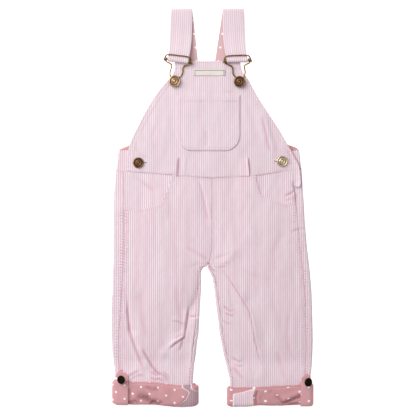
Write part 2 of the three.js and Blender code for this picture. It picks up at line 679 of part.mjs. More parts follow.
function cuff({ side, outer, inner, innerWall, edges }) {
  const radius = (CUFF_INSIDE.high - CUFF_INSIDE.low) / 2;
  const middle = (CUFF_INSIDE.high + CUFF_INSIDE.low) / 2;
  const outerCentre = outer - side * radius;
  const innerCentre = inner + side * radius;
  const path = [];
  const arc = [90, 60, 30, 0, -30, -60, -90].map((degrees) => (degrees * Math.PI) / 180);
  for (const angle of arc) {
    path.push({
      x: outerCentre + side * radius * Math.cos(angle),
      z: middle + radius * Math.sin(angle),
      nx: side * Math.cos(angle),
      nz: Math.sin(angle),
    });
  }
  for (const t of steps(6).slice(1, -1)) {
    path.push({ x: mix(outerCentre, innerCentre, t), z: CUFF_INSIDE.low, nx: 0, nz: -1 });
  }
  for (const angle of [...arc].reverse()) {
    path.push({
      x: innerCentre - side * radius * Math.cos(angle),
      z: middle + radius * Math.sin(angle),
      nx: -side * Math.cos(angle),
      nz: Math.sin(angle),
    });
  }
  for (const t of steps(9).slice(1, -1)) {
    path.push({ x: mix(innerCentre, outerCentre, t), z: CUFF_INSIDE.high, nx: 0, nz: 1 });
  }
  const sections = path.map(({ x, z, nx, nz }) => {
    const inward = Math.max(0, -side * nx);
    const wallX = mix(CUFF_WALL, innerWall, smooth(0, 1, inward));
    return CUFF_SECTION.map(({ depth, from, inset }) => {
      const px = x + nx * depth * wallX;
      const edge = read(edges, px, from, 'x');
      return [px, edge + (from === 'bottom' ? inset : -inset), z + nz * depth * CUFF_WALL];
    });
  });
  return torus(sections);
}

// A place on the rounded outer edge of a leg's end: d runs inwards along the top from where the
// curve begins, or down the curve where it is below nought, and lift stands off the leg's cloth
function onLegEnd(leg, y, d, lift) {
  const low = climb(y);
  const radius = LEG_HEIGHT / 2;
  const centreX = read(leg.edges, y, 'outer') - leg.side * radius;
  const centreZ = low + radius;
  if (d >= 0) return { x: centreX - leg.side * d, z: low + LEG_HEIGHT + lift, tilt: 0 };
  const tilt = -d / (radius + CUFF_WALL);
  return {
    x: centreX + leg.side * (radius + lift) * Math.sin(tilt),
    z: centreZ + (radius + lift) * Math.cos(tilt),
    tilt,
  };
}

// Turn-up tabs: pointed straps that come up out of the leg, over the cuff, and button above it
const TAB_WALL = 1.6;
const TAB_COLUMNS = 7;
const ON_CUFF = CUFF_WALL + 2 * SEAM_GAP;
const TAB_PATH = table(['past', 'lift', 'half'], [
  [19.2, 1.1, 1.2], [16.2, 1.0, 5], [12, 0.8, 8.6], [8.4, 0.9, 9.4], [5.4, 2.0, 9.4],
  [2.9, 4.1, 9.4], [0.6, 5.1, 9.4], [-3, ON_CUFF, 9.4], [-14, ON_CUFF, 9.4],
  [-24, ON_CUFF, 9.4], [-28.4, ON_CUFF, 9.4], [-30.6, 4.2, 9.4], [-32.2, 2.6, 9.4],
  [-32.6, 1.2, 9.4],
]);
const TABS = table(['side', 'middle', 'cuffTop', 'stretch'], [
  [-1, 7.6, -261, 1.045],
  [1, 2.4, -266.6, 0.93],
]);
function cuffTab({ side, middle, cuffTop, stretch }) {
  const leg = LEGS.find((each) => each.side === side);
  const place = ({ past, lift, half }) => ({
    y: cuffTop + past * (past < -20 ? stretch : 1),
    lift,
    half,
  });
  const path = TAB_PATH.map(place);
  const grid = (offset) =>
    path.map((point, i) => {
      const before = path[Math.max(0, i - 1)];
      const after = path[Math.min(path.length - 1, i + 1)];
      const length = Math.hypot(after.y - before.y, after.lift - before.lift);
      const lift = point.lift + (offset * (before.y - after.y)) / length;
      const y = point.y + (offset * (after.lift - before.lift)) / length;
      return steps(TAB_COLUMNS).map((t) => {
        const d = middle + mix(-point.half, point.half, t);
        const { x, z } = onLegEnd(leg, point.y, d, lift);
        return [x, y, z];
      });
    });
  return slab(grid(TAB_WALL), grid(0));
}

// The pieces
addPiece('bib', bibWithHoles(), cloth());
addPiece('bib_pocket', bibPocket(), cloth());
addPiece('label', label(), ribbon());
addPiece('belt_loop_left', beltLoop(-52.5), cloth());
addPiece('belt_loop_right', beltLoop(43.5), cloth());
addPiece('back_bib', backBib(), cloth());
for (const leg of LEGS) {
  addPiece(`leg_front_${leg.name}`, legFront(leg), cloth());
  addPiece(`leg_back_${leg.name}`, legBack(leg), cloth());
  addPiece(`pocket_facing_${leg.name}`, pocketFacing(leg), cloth());
  addPiece(`side_placket_${leg.name}`, sidePlacket(leg.side), cloth());
  addPiece(`cuff_${leg.name}`, cuff(CUFFS.find((each) => each.side === leg.side)), lining());
  addPiece(`cuff_tab_${leg.name}`, cuffTab(TABS.find((each) => each.side === leg.side)), lining());
  const row = STRAPS.find((each) => each.side === leg.side);
  addPiece(`strap_${leg.name}`, strap(row), cloth());
  addPiece(`buckle_${leg.name}`, buckle(row, leg.side < 0 ? LEFT_NECK : RIGHT_NECK), brass());

  const onBib = BIB_BUTTONS.find((each) => each.side === leg.side);
  const bibButton = addPiece(
    `bib_button_${leg.name}`,
    button(BUTTON_RADIUS, BIB_SHANK.radius, BIB_SHANK.height),
    brass(),
  );
  bibButton.position.set(onBib.x, onBib.y, faceHeight(onBib.x, onBib.y) + SEAM_GAP);

  const atSide = SIDE_BUTTONS.find((each) => each.side === leg.side);
  const rest = SIDE_DROP.height + SEAM_GAP;
  const reach = faceHeight(atSide.x, atSide.y) + 0.6 - rest;
  const sideButton = addPiece(`side_button_${leg.name}`, button(8.1, 1.4, reach), brass());
  sideButton.position.set(atSide.x, atSide.y, rest);
}

// Tab buttons, which lean outwards as the edge of the leg does
const TAB_SHANK = { radius: 1.8, height: 2.2 };
const TAB_BUTTONS = table(['side', 'y', 'd', 'lift', 'lean'], [
  [-1, -257.3, 6.4, 7.3, 26],
  [1, -262, 0.4, 6.8, 26],
]);
for (const { side, y, d, lift, lean } of TAB_BUTTONS) {
  const leg = LEGS.find((each) => each.side === side);
  const { x, z } = onLegEnd(leg, y, d, lift);
  const head = button(TAB_BUTTON_RADIUS, TAB_SHANK.radius, TAB_SHANK.height);
  const mesh = addPiece(`cuff_button_${leg.name}`, head, brass());
  mesh.position.set(x, y, z);
  mesh.rotation.y = (side * lean * Math.PI) / 180;
}

export default overalls;
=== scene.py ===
# %% [markdown]
# # Kids bib overalls, laid flat
# The overalls are sewn from striped cotton twill, lined with dotted cotton, and fastened with brass
# buckles and buttons. They lie face up on a table, so every panel is a thin sheet that follows the
# form of its CAD solid, with its own creases, seams and stitches. This lesson loads the CAD parts as a
# fixed frame, then dresses them one piece at a time.

import math

import bmesh
import bpy
import numpy as np
from mathutils import Matrix, Vector, noise


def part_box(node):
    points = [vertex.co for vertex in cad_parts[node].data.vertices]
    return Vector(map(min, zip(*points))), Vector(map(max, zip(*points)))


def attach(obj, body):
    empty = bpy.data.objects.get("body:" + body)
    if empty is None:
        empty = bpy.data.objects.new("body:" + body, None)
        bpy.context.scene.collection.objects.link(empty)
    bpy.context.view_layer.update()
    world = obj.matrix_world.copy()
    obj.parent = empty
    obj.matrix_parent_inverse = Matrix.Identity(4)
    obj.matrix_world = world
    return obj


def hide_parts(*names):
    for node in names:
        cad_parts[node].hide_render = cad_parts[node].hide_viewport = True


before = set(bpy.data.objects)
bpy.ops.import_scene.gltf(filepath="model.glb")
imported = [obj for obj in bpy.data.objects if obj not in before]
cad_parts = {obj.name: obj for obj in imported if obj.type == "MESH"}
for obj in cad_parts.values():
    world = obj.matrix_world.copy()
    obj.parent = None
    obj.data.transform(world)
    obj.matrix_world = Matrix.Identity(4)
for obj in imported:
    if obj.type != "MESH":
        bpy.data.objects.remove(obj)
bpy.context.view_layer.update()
print("nodes in the frame:", len(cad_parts))

# %% [markdown]
# ## Numbers of the garment
# Blender works in metres, and a tailor in millimetres. The places below are millimetres in the frame
# of the CAD part: +X to the right, +Y up to the straps, +Z off the table. A table lists an edge from
# the top to the bottom, and a reader turns one of its columns into a function of the place. Averaging
# a few readings rounds the corners, as cloth does.

# %% Read a table
MM = 0.001
OUTER, OUTSEAM, INSEAM, INNER = 1, 2, 3, 4


def reader(rows, column, soften=0.0):
    ordered = sorted(rows)
    places = [row[0] for row in ordered]
    values = [row[column] for row in ordered]

    def read(place):
        steps = (-1.0, -0.5, 0.0, 0.5, 1.0) if soften else (0.0,)
        return sum(np.interp(place + soften * step, places, values) for step in steps) / len(steps)

    return read


def mix(a, b, t):
    return a + (b - a) * t


def smooth(start, end, value):
    t = np.clip((value - start) / (end - start), 0, 1)
    return t * t * (3 - 2 * t)


def lengths_along(points):
    """How far each point of a line lies from its start."""
    return np.concatenate([[0], np.cumsum(np.hypot(*np.diff(points, axis=0).T))])


def bell(away, width):
    """A bell that is 1 on a line and fades within the width."""
    return np.exp(-((away / width) ** 2))


# %% Tables of the legs
LEG_END = -292.0
WAIST_ROW = 56.0
LEFT_LEG = [
    (56, -144.5, -132, 0, 0), (32, -147, -132, 0, 0), (10, -148.5, -132, 0, 0),
    (-62, -148.5, -132.5, 0, 0), (-86, -148.5, -133, -5, -5), (-90, -149.5, -133, -17.5, -13),
    (-96, -150, -133.5, -21, -16.5), (-124, -150, -135, -21.5, -16.5),
    (-148, -151.5, -137, -23.5, -18), (-188, -151.5, -139.5, -25.5, -20),
    (-204, -150.5, -140, -28, -22.5), (-220, -150, -140.5, -29.5, -24),
    (-238, -147, -139, -32, -27), (-258, -145.5, -138, -33.5, -28.5),
    (LEG_END, -145.5, -138, -33.5, -28.5),
]
RIGHT_LEG = [
    (56, 134.5, 121, 0, 0), (30, 136.5, 123, 0, 0), (8, 138, 125.5, 0, 0), (-20, 139.5, 128.5, 0, 0),
    (-62, 143, 132, 0, 0), (-86, 146, 135.5, -5, -5), (-90, 146.5, 136, -2.5, -7),
    (-96, 147, 136.5, 0.5, -4), (-106, 148, 137.5, 5, 0.5), (-124, 149.5, 139, 8, 3),
    (-148, 150.5, 140.5, 11, 6), (-188, 151.5, 141, 16, 11), (-204, 151.5, 141.5, 19, 14),
    (-220, 151, 141, 22, 17), (-238, 150, 140, 26.5, 21.5), (-258, 147, 139.5, 31.5, 26.5),
    (LEG_END, 147, 139.5, 31.5, 26.5),
]
LEFT_MOUTH = [
    (56, -60), (38, -64.5), (22, -69.5), (11, -74), (5, -79.5), (1, -86), (-2, -101), (-5, -122),
]
RIGHT_MOUTH = [
    (56, 65), (38, 68.5), (27, 71.5), (17, 77), (11, 92), (6.5, 109), (3.5, 121),
]
LEGS = {
    "left": {"side": -1, "edges": LEFT_LEG, "mouth_rows": LEFT_MOUTH},
    "right": {"side": 1, "edges": RIGHT_LEG, "mouth_rows": RIGHT_MOUTH},
}
for leg in LEGS.values():
    for name, column in (("outer", OUTER), ("outseam", OUTSEAM)):
        leg[name] = reader(leg["edges"], column, 5)
    for name, column in (("inseam", INSEAM), ("inner", INNER)):
        leg[name] = reader(leg["edges"], column)
    leg["mouth"] = reader(leg["mouth_rows"], 1, 1.5)
    leg["mouth_end"] = leg["mouth_rows"][-1][0]

# %% Tables of the bib and of the height of the cloth
WAIST = [
    (-150, 55), (-127.5, 54), (-108, 52.5), (-54, 48.75), (-3, 44.25), (30, 45.75), (58.5, 46.65),
    (94.5, 52.5), (130.5, 57.75), (150, 58),
]
BIB_TOP = 220.0
BIB_BOTTOM = 54.0
BIB_EDGES = [
    (220, -56, 42), (203, -56, 45), (194, -63.75, 54), (176, -79.5, 63), (158, -91.5, 73.5),
    (140, -102, 85.5), (122, -111, 97.5), (104, -120, 108), (88, -125.5, 117), (72, -127, 126),
    (54, -127.5, 134),
]
TONGUE_FROM, TONGUE_TO, TONGUE_BOTTOM = 117.0, 124.0, 31.0
FACE = [
    (230, 4.6, 0.3), (180, 4.8, 0.6), (130, 5.4, 0.8), (90, 6.6, 0.8), (50, 6.5, 1.0), (0, 6.4, 1.6),
    (-86, 6.4, 1.8), (-150, 6.4, 2.4), (-220, 6.4, 1.6), (-245, 6.4, 0.4), (-256, 6.4, 0),
]
CUFF_WALL = 4.2
SEAM_GAP = 0.3
LEG_HEIGHT = 6.4

waist_at = reader(WAIST, 1, 4)
bib_left = reader(BIB_EDGES, 1, 5)
bib_right = reader(BIB_EDGES, 2, 5)
face_level = reader(FACE, 1)
face_crown = reader(FACE, 2)


def climb(row):
    return (CUFF_WALL + SEAM_GAP) * smooth(-226, -260, row)


# %% [markdown]
# ## Creases
# Cloth that has been worn and laid down keeps soft ridges and troughs. A simulation would invent its
# own, so these are placed one by one where the overalls show them. Each one follows a bent line, has a
# round section, dies away at its ends, and may have a ridge or a hollow beside it, which gives the
# fold one steep side.

# %% Broad folds
# Each row: the line, then its width, its rise, and how much of the opposite lies on its left side
BROAD_FOLDS = [
    ([(14, -96), (44, -136)], 8, 0.6, 0), ([(44, -136), (66, -190)], 9, 0.7, 0),
    ([(66, -190), (80, -240)], 8, 0.6, 0), ([(28, -92), (60, -136)], 7, -0.2, 0),
    ([(60, -136), (82, -190)], 7, -0.2, 0), ([(-30, -148), (-40, -182)], 7, -1.1, 0),
    ([(-40, -182), (-66, -212)], 7, -1.2, 0), ([(-26, -170), (-50, -200)], 6, 1.3, 0),
    ([(-52, -196), (-72, -218)], 6, 1.4, 0), ([(-18, -160), (-28, -236)], 5, 0.9, 0),
    ([(-126, -140), (-122, -184)], 7, -0.8, 0), ([(-122, -184), (-106, -226)], 7, -1.0, 0),
    ([(-106, -212), (-88, -240)], 6, 1.2, 0), ([(-116, -196), (-100, -236)], 6, 1.3, 0),
    ([(10, -88), (40, -62)], 7, 1.0, 0), ([(-14, -84), (-42, -60)], 7, 0.9, 0),
    ([(-14, -98), (-20, -122), (-29, -152)], 6, -1.4, 0),
    ([(-20, 40), (-8, -16)], 6, -0.6, 0), ([(74, 136), (90, 80)], 8, 1.0, 0),
    ([(88, 140), (104, 84)], 7, -0.5, 0), ([(-8, 116), (-9, 88)], 7, -0.6, 0),
]

# %% Creases of the legs
LEFT_LEG_CREASES = [
    ([(-127, -132), (-126.5, -154), (-123.5, -184), (-115.5, -209), (-109, -226), (-99, -248)],
     2.0, -1.5, -0.7),
    ([(-107, -207), (-97.5, -223), (-88.5, -239), (-81, -247.5), (-69, -253), (-62, -266)],
     2.0, -1.6, -0.8),
    ([(-34, -146), (-36, -161), (-38, -176), (-41, -195), (-54, -203.5), (-67, -215)], 1.8, -1.7, -0.9),
    ([(-61, -170), (-50, -172), (-40, -177)], 2.0, -0.7, 0.5),
    ([(-57, -197), (-49, -193), (-42, -189)], 1.8, -0.7, 0.5),
    ([(-43, -196), (-48, -216)], 2.2, -0.8, -0.6),
    ([(-34, -164), (-20, -163)], 2.0, -1.2, -0.6),
    ([(-16, -153), (-24, -184), (-27, -206), (-28, -229), (-32, -262)], 1.8, -1.3, -0.5),
    ([(-127, -254), (-117, -249), (-108, -244)], 2.2, -0.9, 0.7),
    ([(-122, -258), (-112, -252), (-100, -252)], 2.0, -0.7, 0.6),
    ([(-12, -98), (-20, -124), (-30, -152)], 5.0, -0.5, 0.3),
    ([(-92, -246), (-84, -251), (-76, -250)], 1.8, -0.8, 0.7),
    ([(-86, -253), (-77, -257), (-72, -263)], 1.8, 0.8, 0.7),
    ([(-74, -246), (-66, -251), (-62, -259)], 1.8, -0.9, -0.7),
    ([(-92, -254), (-86, -258), (-78, -256), (-74, -262)], 1.8, -1.0, 0.6),
    ([(-108, -120), (-106, -160), (-98, -200)], 6.0, -0.5, 0.4),
    ([(-84, -130), (-80, -180), (-82, -222)], 5.0, 0.45, 0.4),
    ([(-56, -112), (-50, -150), (-46, -176)], 5.0, -0.4, -0.5),
    ([(-138, -196), (-130, -212), (-118, -230)], 3.4, 0.6, 0.4),
]
RIGHT_LEG_CREASES = [
    ([(13, -90), (21, -101), (33, -118), (45, -137), (55.5, -154), (60.7, -176), (64.5, -199),
      (70.5, -224), (81, -247)], 1.3, -1.4, 0.5),
    ([(18, -147), (24, -154), (31, -158)], 2.0, -1.0, 0.6),
    ([(19, -158), (26, -162), (33, -163)], 1.8, -0.8, 0.6),
    ([(14, -168), (22, -174), (30, -176)], 1.6, -0.6, 0.6),
    ([(31, -224), (37, -230), (45, -233)], 2.0, -1.0, 0.6),
    ([(33, -234), (40, -238), (47, -238)], 1.8, -0.8, 0.6),
    ([(118, -37), (127, -34), (138, -31)], 2.4, -0.7, 0.5),
    ([(30, -238), (38, -247), (48, -258)], 3.4, -0.8, 0.5),
    ([(52, -236), (58, -250), (60, -262)], 3.0, 0.6, 0.5),
    ([(96, -212), (104, -236), (108, -258)], 4.0, -0.5, 0.5),
    ([(40, -92), (72, -104), (96, -108)], 5.0, -0.2, 0.5),
    ([(20, -118), (26, -140), (28, -168)], 3.6, 0.5, 0.5),
    ([(78, -128), (92, -168), (96, -204)], 6.0, 0.45, 0.5),
    ([(116, -150), (112, -190), (118, -230)], 5.0, -0.45, 0.5),
]

# %% Creases of the trunk and the bib
TRUNK_CREASES = [
    ([(-20, 44), (-15, 24), (-10.5, 4), (-5, -24)], 2.4, -0.8, 0.6),
    ([(2, -84), (14, -84.5), (29, -83)], 1.6, -0.35, 0.5),
    ([(1, -88), (11, -90), (23, -88)], 2.0, -0.5, 0.6),
    ([(4, -77), (14, -73), (28, -69)], 2.4, -0.35, 0.6),
    ([(-7, -82), (-2, -87)], 1.4, -1.6, 0.4),
    ([(0, -91), (5, -98)], 1.4, -1.1, 0.5),
    ([(-4, -80), (-20, -70), (-40, -58)], 4.0, -0.5, 0.5),
    ([(-8, -86), (-20, -84), (-34, -88)], 3.0, -0.4, 0.5),
    ([(124, 43), (122, 33), (125.3, 27), (120, 21.5), (111, 17.2), (108, 13)], 2.0, -1.1, 0.15),
    ([(120.6, 21.5), (123.2, 15.2), (123.7, 6.8)], 1.6, -0.9, 0.3),
    ([(108.5, 13.5), (112, 10), (118, 12)], 1.8, -0.5, 0.3),
    ([(134.5, 4), (136, -8), (135.5, -21)], 1.4, -1.3, 0.5),
    ([(88, 46), (96, 30), (98, 16)], 4.0, 0.4, 0.5),
    ([(-114, 46), (-100, 34), (-84, 24)], 3.0, -0.5, 0.5),
    ([(-70, 30), (-64, 6), (-66, -24)], 5.0, -0.35, 0.5),
    ([(60, 20), (56, -20), (60, -50)], 6.0, 0.35, 0.5),
    ([(-100, -20), (-92, -60), (-96, -90)], 6.0, 0.35, 0.5),
    ([(100, -40), (92, -70), (94, -100)], 6.0, -0.35, 0.5),
]
BIB_CREASES = [
    ([(75, 139), (79, 120), (83, 101), (89, 79)], 2.6, -0.9, 0.6),
    ([(-9, 118), (-8, 104), (-9, 89)], 3.0, -0.5, 0.4),
    ([(22, 176), (27, 173), (33, 174)], 2.0, -0.5, 0.5),
    ([(-60, 150), (-66, 130), (-64, 100)], 5.0, 0.4, 0.5),
    ([(-84, 128), (-90, 104), (-86, 84)], 4.0, -0.4, 0.5),
    ([(52, 150), (58, 120), (56, 92)], 5.0, 0.35, 0.5),
    ([(112, 88), (116, 76), (118, 62)], 3.0, -0.7, 0.6),
    ([(-116, 92), (-108, 80), (-96, 74)], 3.0, -0.4, 0.5),
    ([(-30, 84), (-26, 70), (-28, 58)], 3.0, 0.3, 0.5),
    ([(20, 82), (24, 66), (22, 56)], 3.0, -0.3, 0.5),
]

# %% Place the creases
FADING_SHARE = 0.2
BANK_WIDTH, SHADED_WIDTH = 1.7, 0.7


def crease(x, y, line, width, rise, beside):
    away = np.full(x.shape, 1e6)
    signed = np.zeros(x.shape)
    along = np.zeros(x.shape)
    run = 0.0
    for (x1, y1), (x2, y2) in zip(line, line[1:]):
        length = math.hypot(x2 - x1, y2 - y1)
        dx, dy = (x2 - x1) / length, (y2 - y1) / length
        t = np.clip((x - x1) * dx + (y - y1) * dy, 0, length)
        ex, ey = x - x1 - t * dx, y - y1 - t * dy
        distance = np.hypot(ex, ey)
        nearer = distance < away
        signed = np.where(nearer, np.sign(dx * ey - dy * ex) * distance, signed)
        along = np.where(nearer, run + t, along)
        away = np.minimum(away, distance)
        run += length
    valley = bell(away, width)
    if not beside:
        return rise * valley, np.zeros(x.shape)
    fade = smooth(0, FADING_SHARE, along / run) * (1 - smooth(1 - FADING_SHARE, 1, along / run))
    bank = bell(signed - math.copysign(BANK_WIDTH * width, beside), BANK_WIDTH * width)
    # Painted shade: this second value darkens the colour along the middle of a trough
    shade = max(-rise, 0.0) * bell(away, SHADED_WIDTH * width)
    return rise * fade * (valley - abs(beside) * bank), fade * shade


def creased(x, y, rows):
    pairs = [crease(x, y, *row) for row in rows]
    return sum(pair[0] for pair in pairs), sum(pair[1] for pair in pairs)


creases = BROAD_FOLDS + LEFT_LEG_CREASES + RIGHT_LEG_CREASES + TRUNK_CREASES + BIB_CREASES
print("creases placed:", len(creases))

# %% [markdown]
# ## The height of the cloth
# One function gives the height of the upper face anywhere on the garment. It sums the level of the
# layers below, the swell between the seams, the creases, the small puckers that a tight seam pulls
# into the cloth, and a slow unevenness.

# %% Work out the height
PUCKER_PITCH = 4.3
PUCKER_RISE = 0.55
PUCKER_SLANT = 0.3
STITCHED_FLAT = 1.6
FOLD_DEPTH = 1.6


def unevenness(x, y, size, stretch=1.6, seed=0.0):
    pairs = zip(np.atleast_1d(x) / size, np.atleast_1d(y) / (size * stretch))
    return np.array([noise.noise(Vector((a, b, seed))) for a, b in pairs]).reshape(np.shape(x))


def between_seams(x, y):
    above = y > waist_at(x)
    at_left = x < LEGS["left"]["inseam"](y) + 0.01
    outer = np.where(at_left, LEGS["left"]["outseam"](y), LEGS["right"]["outseam"](y))
    inner = np.where(at_left, LEGS["left"]["inseam"](y), LEGS["right"]["inseam"](y))
    start = np.where(above, bib_left(y), outer)
    end = np.where(above, bib_right(y), inner)
    return np.clip((x - start) / (end - start), 0, 1)


def puckers(x, y):
    along = y + 1.2 * unevenness(x * 0, y, 17.0, 1.0, 3.0)
    depth = np.clip(0.6 + 1.1 * unevenness(x, y, 23.0, 1.0, 7.0), 0.2, 1)
    total = np.zeros(np.shape(x))
    for leg in LEGS.values():
        for seam, start, reach in ((leg["outseam"], 20.0, 6.0), (leg["inseam"], -92.0, 3.5)):
            away = x - seam(y)
            near = np.exp(-((away / reach) ** 4)) - 0.6 * bell(away, STITCHED_FLAT)
            wave = np.sin(2 * np.pi * (along + PUCKER_SLANT * away) / PUCKER_PITCH)
            total += near * wave * smooth(start, start - 14, y)
    return PUCKER_RISE * depth * total


def face_height(x, y):
    x, y = np.asarray(x, float), np.asarray(y, float)
    height = face_level(y) + face_crown(y) * np.sin(np.pi * between_seams(x, y))
    relief = creased(x, y, creases)[0]
    relief = relief + 1.0 * unevenness(x, y, 24.0, 1.9) + 0.35 * unevenness(x, y, 9.0, 1.8, 5.0)
    relief = relief + puckers(x, y)
    return height + relief * (1 - smooth(-252, -266, y)) + climb(y)


def seam_shade(x, y):
    """Painted shade: a seam's groove is a little darker than the cloth beside it, as are the cloth beside
    the bib's right edge and the troughs of the puckers.
    """
    shade = 0.2 * bell(y - waist_at(x), 1.2)
    past_bib = x - bib_right(y)
    beside_bib = (past_bib > 0) * smooth(3.2, 0.6, past_bib)
    shade = shade + 0.9 * beside_bib * smooth(32, 36, y) * smooth(86, 82, y)
    for leg in LEGS.values():
        shade = shade + 0.25 * bell(x - leg["outseam"](y), 1.0) * smooth(28, 16, y)
    at_centre = bell(x - LEGS["right"]["inseam"](y), 1.0)
    shade = shade + 0.2 * at_centre * smooth(-90, -84, y) * smooth(46, 42, y)
    return shade + 0.5 * np.clip(-puckers(x, y) / PUCKER_RISE, 0, 1)


def fold_shade(x, y):
    deep = creased(x, y, creases)[1] / FOLD_DEPTH + seam_shade(x, y)
    return np.clip(deep, 0, 1) * (1 - smooth(-262, -272, y))


print("height at the middle of the bib:", float(face_height(0.0, 130.0)))

# %% [markdown]
# ## A sheet of cloth
# Every panel starts as a flat grid. A function then moves each point of the grid to its place on the
# garment, and also says where that point was on the flat cloth, in millimetres across and along. That
# second pair becomes the piece's UV map, named cloth, so stripes and dots keep their real size and
# follow the folds. A Solidify modifier gives the wall, with the lining's finish on its inner side, and
# a Bevel modifier rounds the cut edges.

# %% Make a sheet
def keep(obj, nodes):
    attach(obj, "root")
    if nodes:
        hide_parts(*nodes)
    return obj


def in_scene(name, data):
    obj = bpy.data.objects.new(name, data)
    bpy.context.scene.collection.objects.link(obj)
    return obj


def object_from(bm, name):
    mesh = bpy.data.meshes.new(name)
    bm.to_mesh(mesh)
    bm.free()
    mesh.shade_smooth()
    return in_scene(name, mesh)


def grid_of_cloth(columns, rows, place, **marks):
    bm = bmesh.new()
    bmesh.ops.create_grid(bm, x_segments=columns, y_segments=rows, size=0.5)
    bm.verts.ensure_lookup_table()
    u = np.array([v.co.x + 0.5 for v in bm.verts])
    v = np.array([v.co.y + 0.5 for v in bm.verts])
    x, y, z, across, along = place(u, v)
    for vert, px, py, pz in zip(bm.verts, x, y, z):
        vert.co = (px * MM, py * MM, pz * MM)
    for name, mark in marks.items():
        values = mark(x, y)
        mark_layer = bm.verts.layers.float.new(name)
        for vert, value in zip(bm.verts, values):
            vert[mark_layer] = value
    layer = bm.loops.layers.uv.new("cloth")
    for face in bm.faces:
        for loop in face.loops:
            i = loop.vert.index
            loop[layer].uv = (across[i] * MM, along[i] * MM)
    return bm


def sheet_of_cloth(name, bm, wall, finishes, offset=-1.0, rim=0.4):
    obj = object_from(bm, name)
    for finish in finishes:
        obj.data.materials.append(finish)
    solidify = obj.modifiers.new("wall", "SOLIDIFY")
    solidify.thickness = wall * MM
    solidify.offset = offset
    solidify.material_offset = len(finishes) - 1
    if rim:
        bevel = obj.modifiers.new("soft rim", "BEVEL")
        bevel.width = rim * MM
        bevel.segments = 2
        bevel.limit_method = "ANGLE"
        bevel.angle_limit = math.radians(50)
    return obj


def cut_of(obj):
    """The flat size and the area of the cloth, in metres, from the cloth map."""
    mesh = obj.data
    layer = mesh.uv_layers["cloth"].uv
    flat = np.empty(len(layer) * 2)
    layer.foreach_get("vector", flat)
    flat = flat.reshape(-1, 2)
    area = 0.0
    for face in mesh.polygons:
        a = flat[list(face.loop_indices)]
        b = np.roll(a, -1, axis=0)
        area += abs(float(np.sum(a[:, 0] * b[:, 1] - b[:, 0] * a[:, 1]))) / 2
    width, length = (flat.max(axis=0) - flat.min(axis=0)).tolist()
    return (width, length), min(area, width * length)


def lay(obj):
    size, area = cut_of(obj)
    print(f"{obj.name}: cut {size[0] / MM:.0f} x {size[1] / MM:.0f} mm, {area * 1e4:.0f} cm2")
    return obj


def dress(node, obj):
    keep(obj, [node])
    return lay(obj)


# %% [markdown]
# ## Finishes
# A finish is a small network of nodes. One helper adds any node, sets its values and links its
# sockets, so each finish below reads like a recipe. Colours are written as they look on a screen, and
# one function turns them to the linear values that the renderer wants.

# %% Add a node
def colour(hexadecimal):
    values = [int(hexadecimal[i : i + 2], 16) / 255 for i in (1, 3, 5)]
    return [v / 12.92 if v <= 0.04045 else ((v + 0.055) / 1.055) ** 2.4 for v in values] + [1.0]


def add(tree, kind, inputs=None, **settings):
    node = tree.nodes.new("ShaderNode" + kind)
    for name, value in settings.items():
        setattr(node, name, value)
    for name, value in (inputs or {}).items():
        if isinstance(value, bpy.types.NodeSocket):
            tree.links.new(value, node.inputs[name])
        else:
            node.inputs[name].default_value = value
    return node


# %% [markdown]
# Most steps of a recipe are a sum, a blend of two colours, a noise or a change of range. Each has a
# short function that adds its node and hands back the output.

# %% Shorten the common steps
def calculate(tree, operation, *terms):
    return add(tree, "Math", dict(enumerate(terms)), operation=operation).outputs[0]


def on_places(tree, operation, *terms):
    node = add(tree, "VectorMath", dict(enumerate(terms)), operation=operation)
    return node.outputs["Value" if operation in ("LENGTH", "DOT_PRODUCT") else "Vector"]


def blend(tree, share, first, second):
    inputs = {"Factor": share, "A": first, "B": second}
    return add(tree, "Mix", inputs, data_type="RGBA").outputs["Result"]


def grain(tree, place, scale, detail=2.0):
    return add(tree, "TexNoise", {"Vector": place, "Scale": scale, "Detail": detail}).outputs["Fac"]


def stretched(tree, place, scale):
    return add(tree, "Mapping", {"Vector": place, "Scale": scale}).outputs[0]


def ramp(tree, value, start, end, low=0.0, high=1.0, curve="LINEAR"):
    inputs = {"Value": value, "From Min": start, "From Max": end, "To Min": low, "To Max": high}
    return add(tree, "MapRange", inputs, interpolation_type=curve).outputs[0]


def bumps(tree, height, strength, depth):
    inputs = {"Height": height, "Strength": strength, "Distance": depth}
    return add(tree, "Bump", inputs).outputs[0]


def cloth_map(tree):
    return add(tree, "UVMap", uv_map="cloth").outputs["UV"]


def own_place(tree):
    return add(tree, "TexCoord").outputs["Object"]


def finish(name):
    material = bpy.data.materials.new(name)
    material.use_nodes = True
    material.node_tree.nodes.clear()
    return material, material.node_tree


def surfaced(material, inputs):
    shader = add(material.node_tree, "BsdfPrincipled", inputs)
    add(material.node_tree, "OutputMaterial", {"Surface": shader.outputs[0]})
    return material


# %% [markdown]
# ### Striped cotton twill
# The cloth is a yarn-dyed twill: pink and white warp yarns lie side by side in stripes of about
# 1.5 mm, and the weave draws fine diagonal lines. It is matt, with a little fuzz that lightens it at
# grazing angles. The stripes read the cloth map. The twill's lines are really 0.5 mm apart, and are
# drawn at 0.9 mm so that they show. Washing leaves the dye a little uneven.

# %% Weave the striped cotton
STRIPE_PERIOD = 3.13 * MM
STRIPE_EDGE = (0.14, 0.34)
RAGGEDNESS = 0.22
TWILL_PITCH = 0.9 * MM
TWILL_SLANT = math.radians(32)
BANDS_PER_WAVE = 3.18
WASHED_PATCH = 60 * MM
STREAK = (1 / (7 * MM), 1 / (150 * MM), 1)
SLUB = (1 / (0.8 * MM), 1 / (9 * MM), 1)
FUZZ_GRAIN = 0.35 * MM
FOLD_SHADE_STRENGTH = 0.6


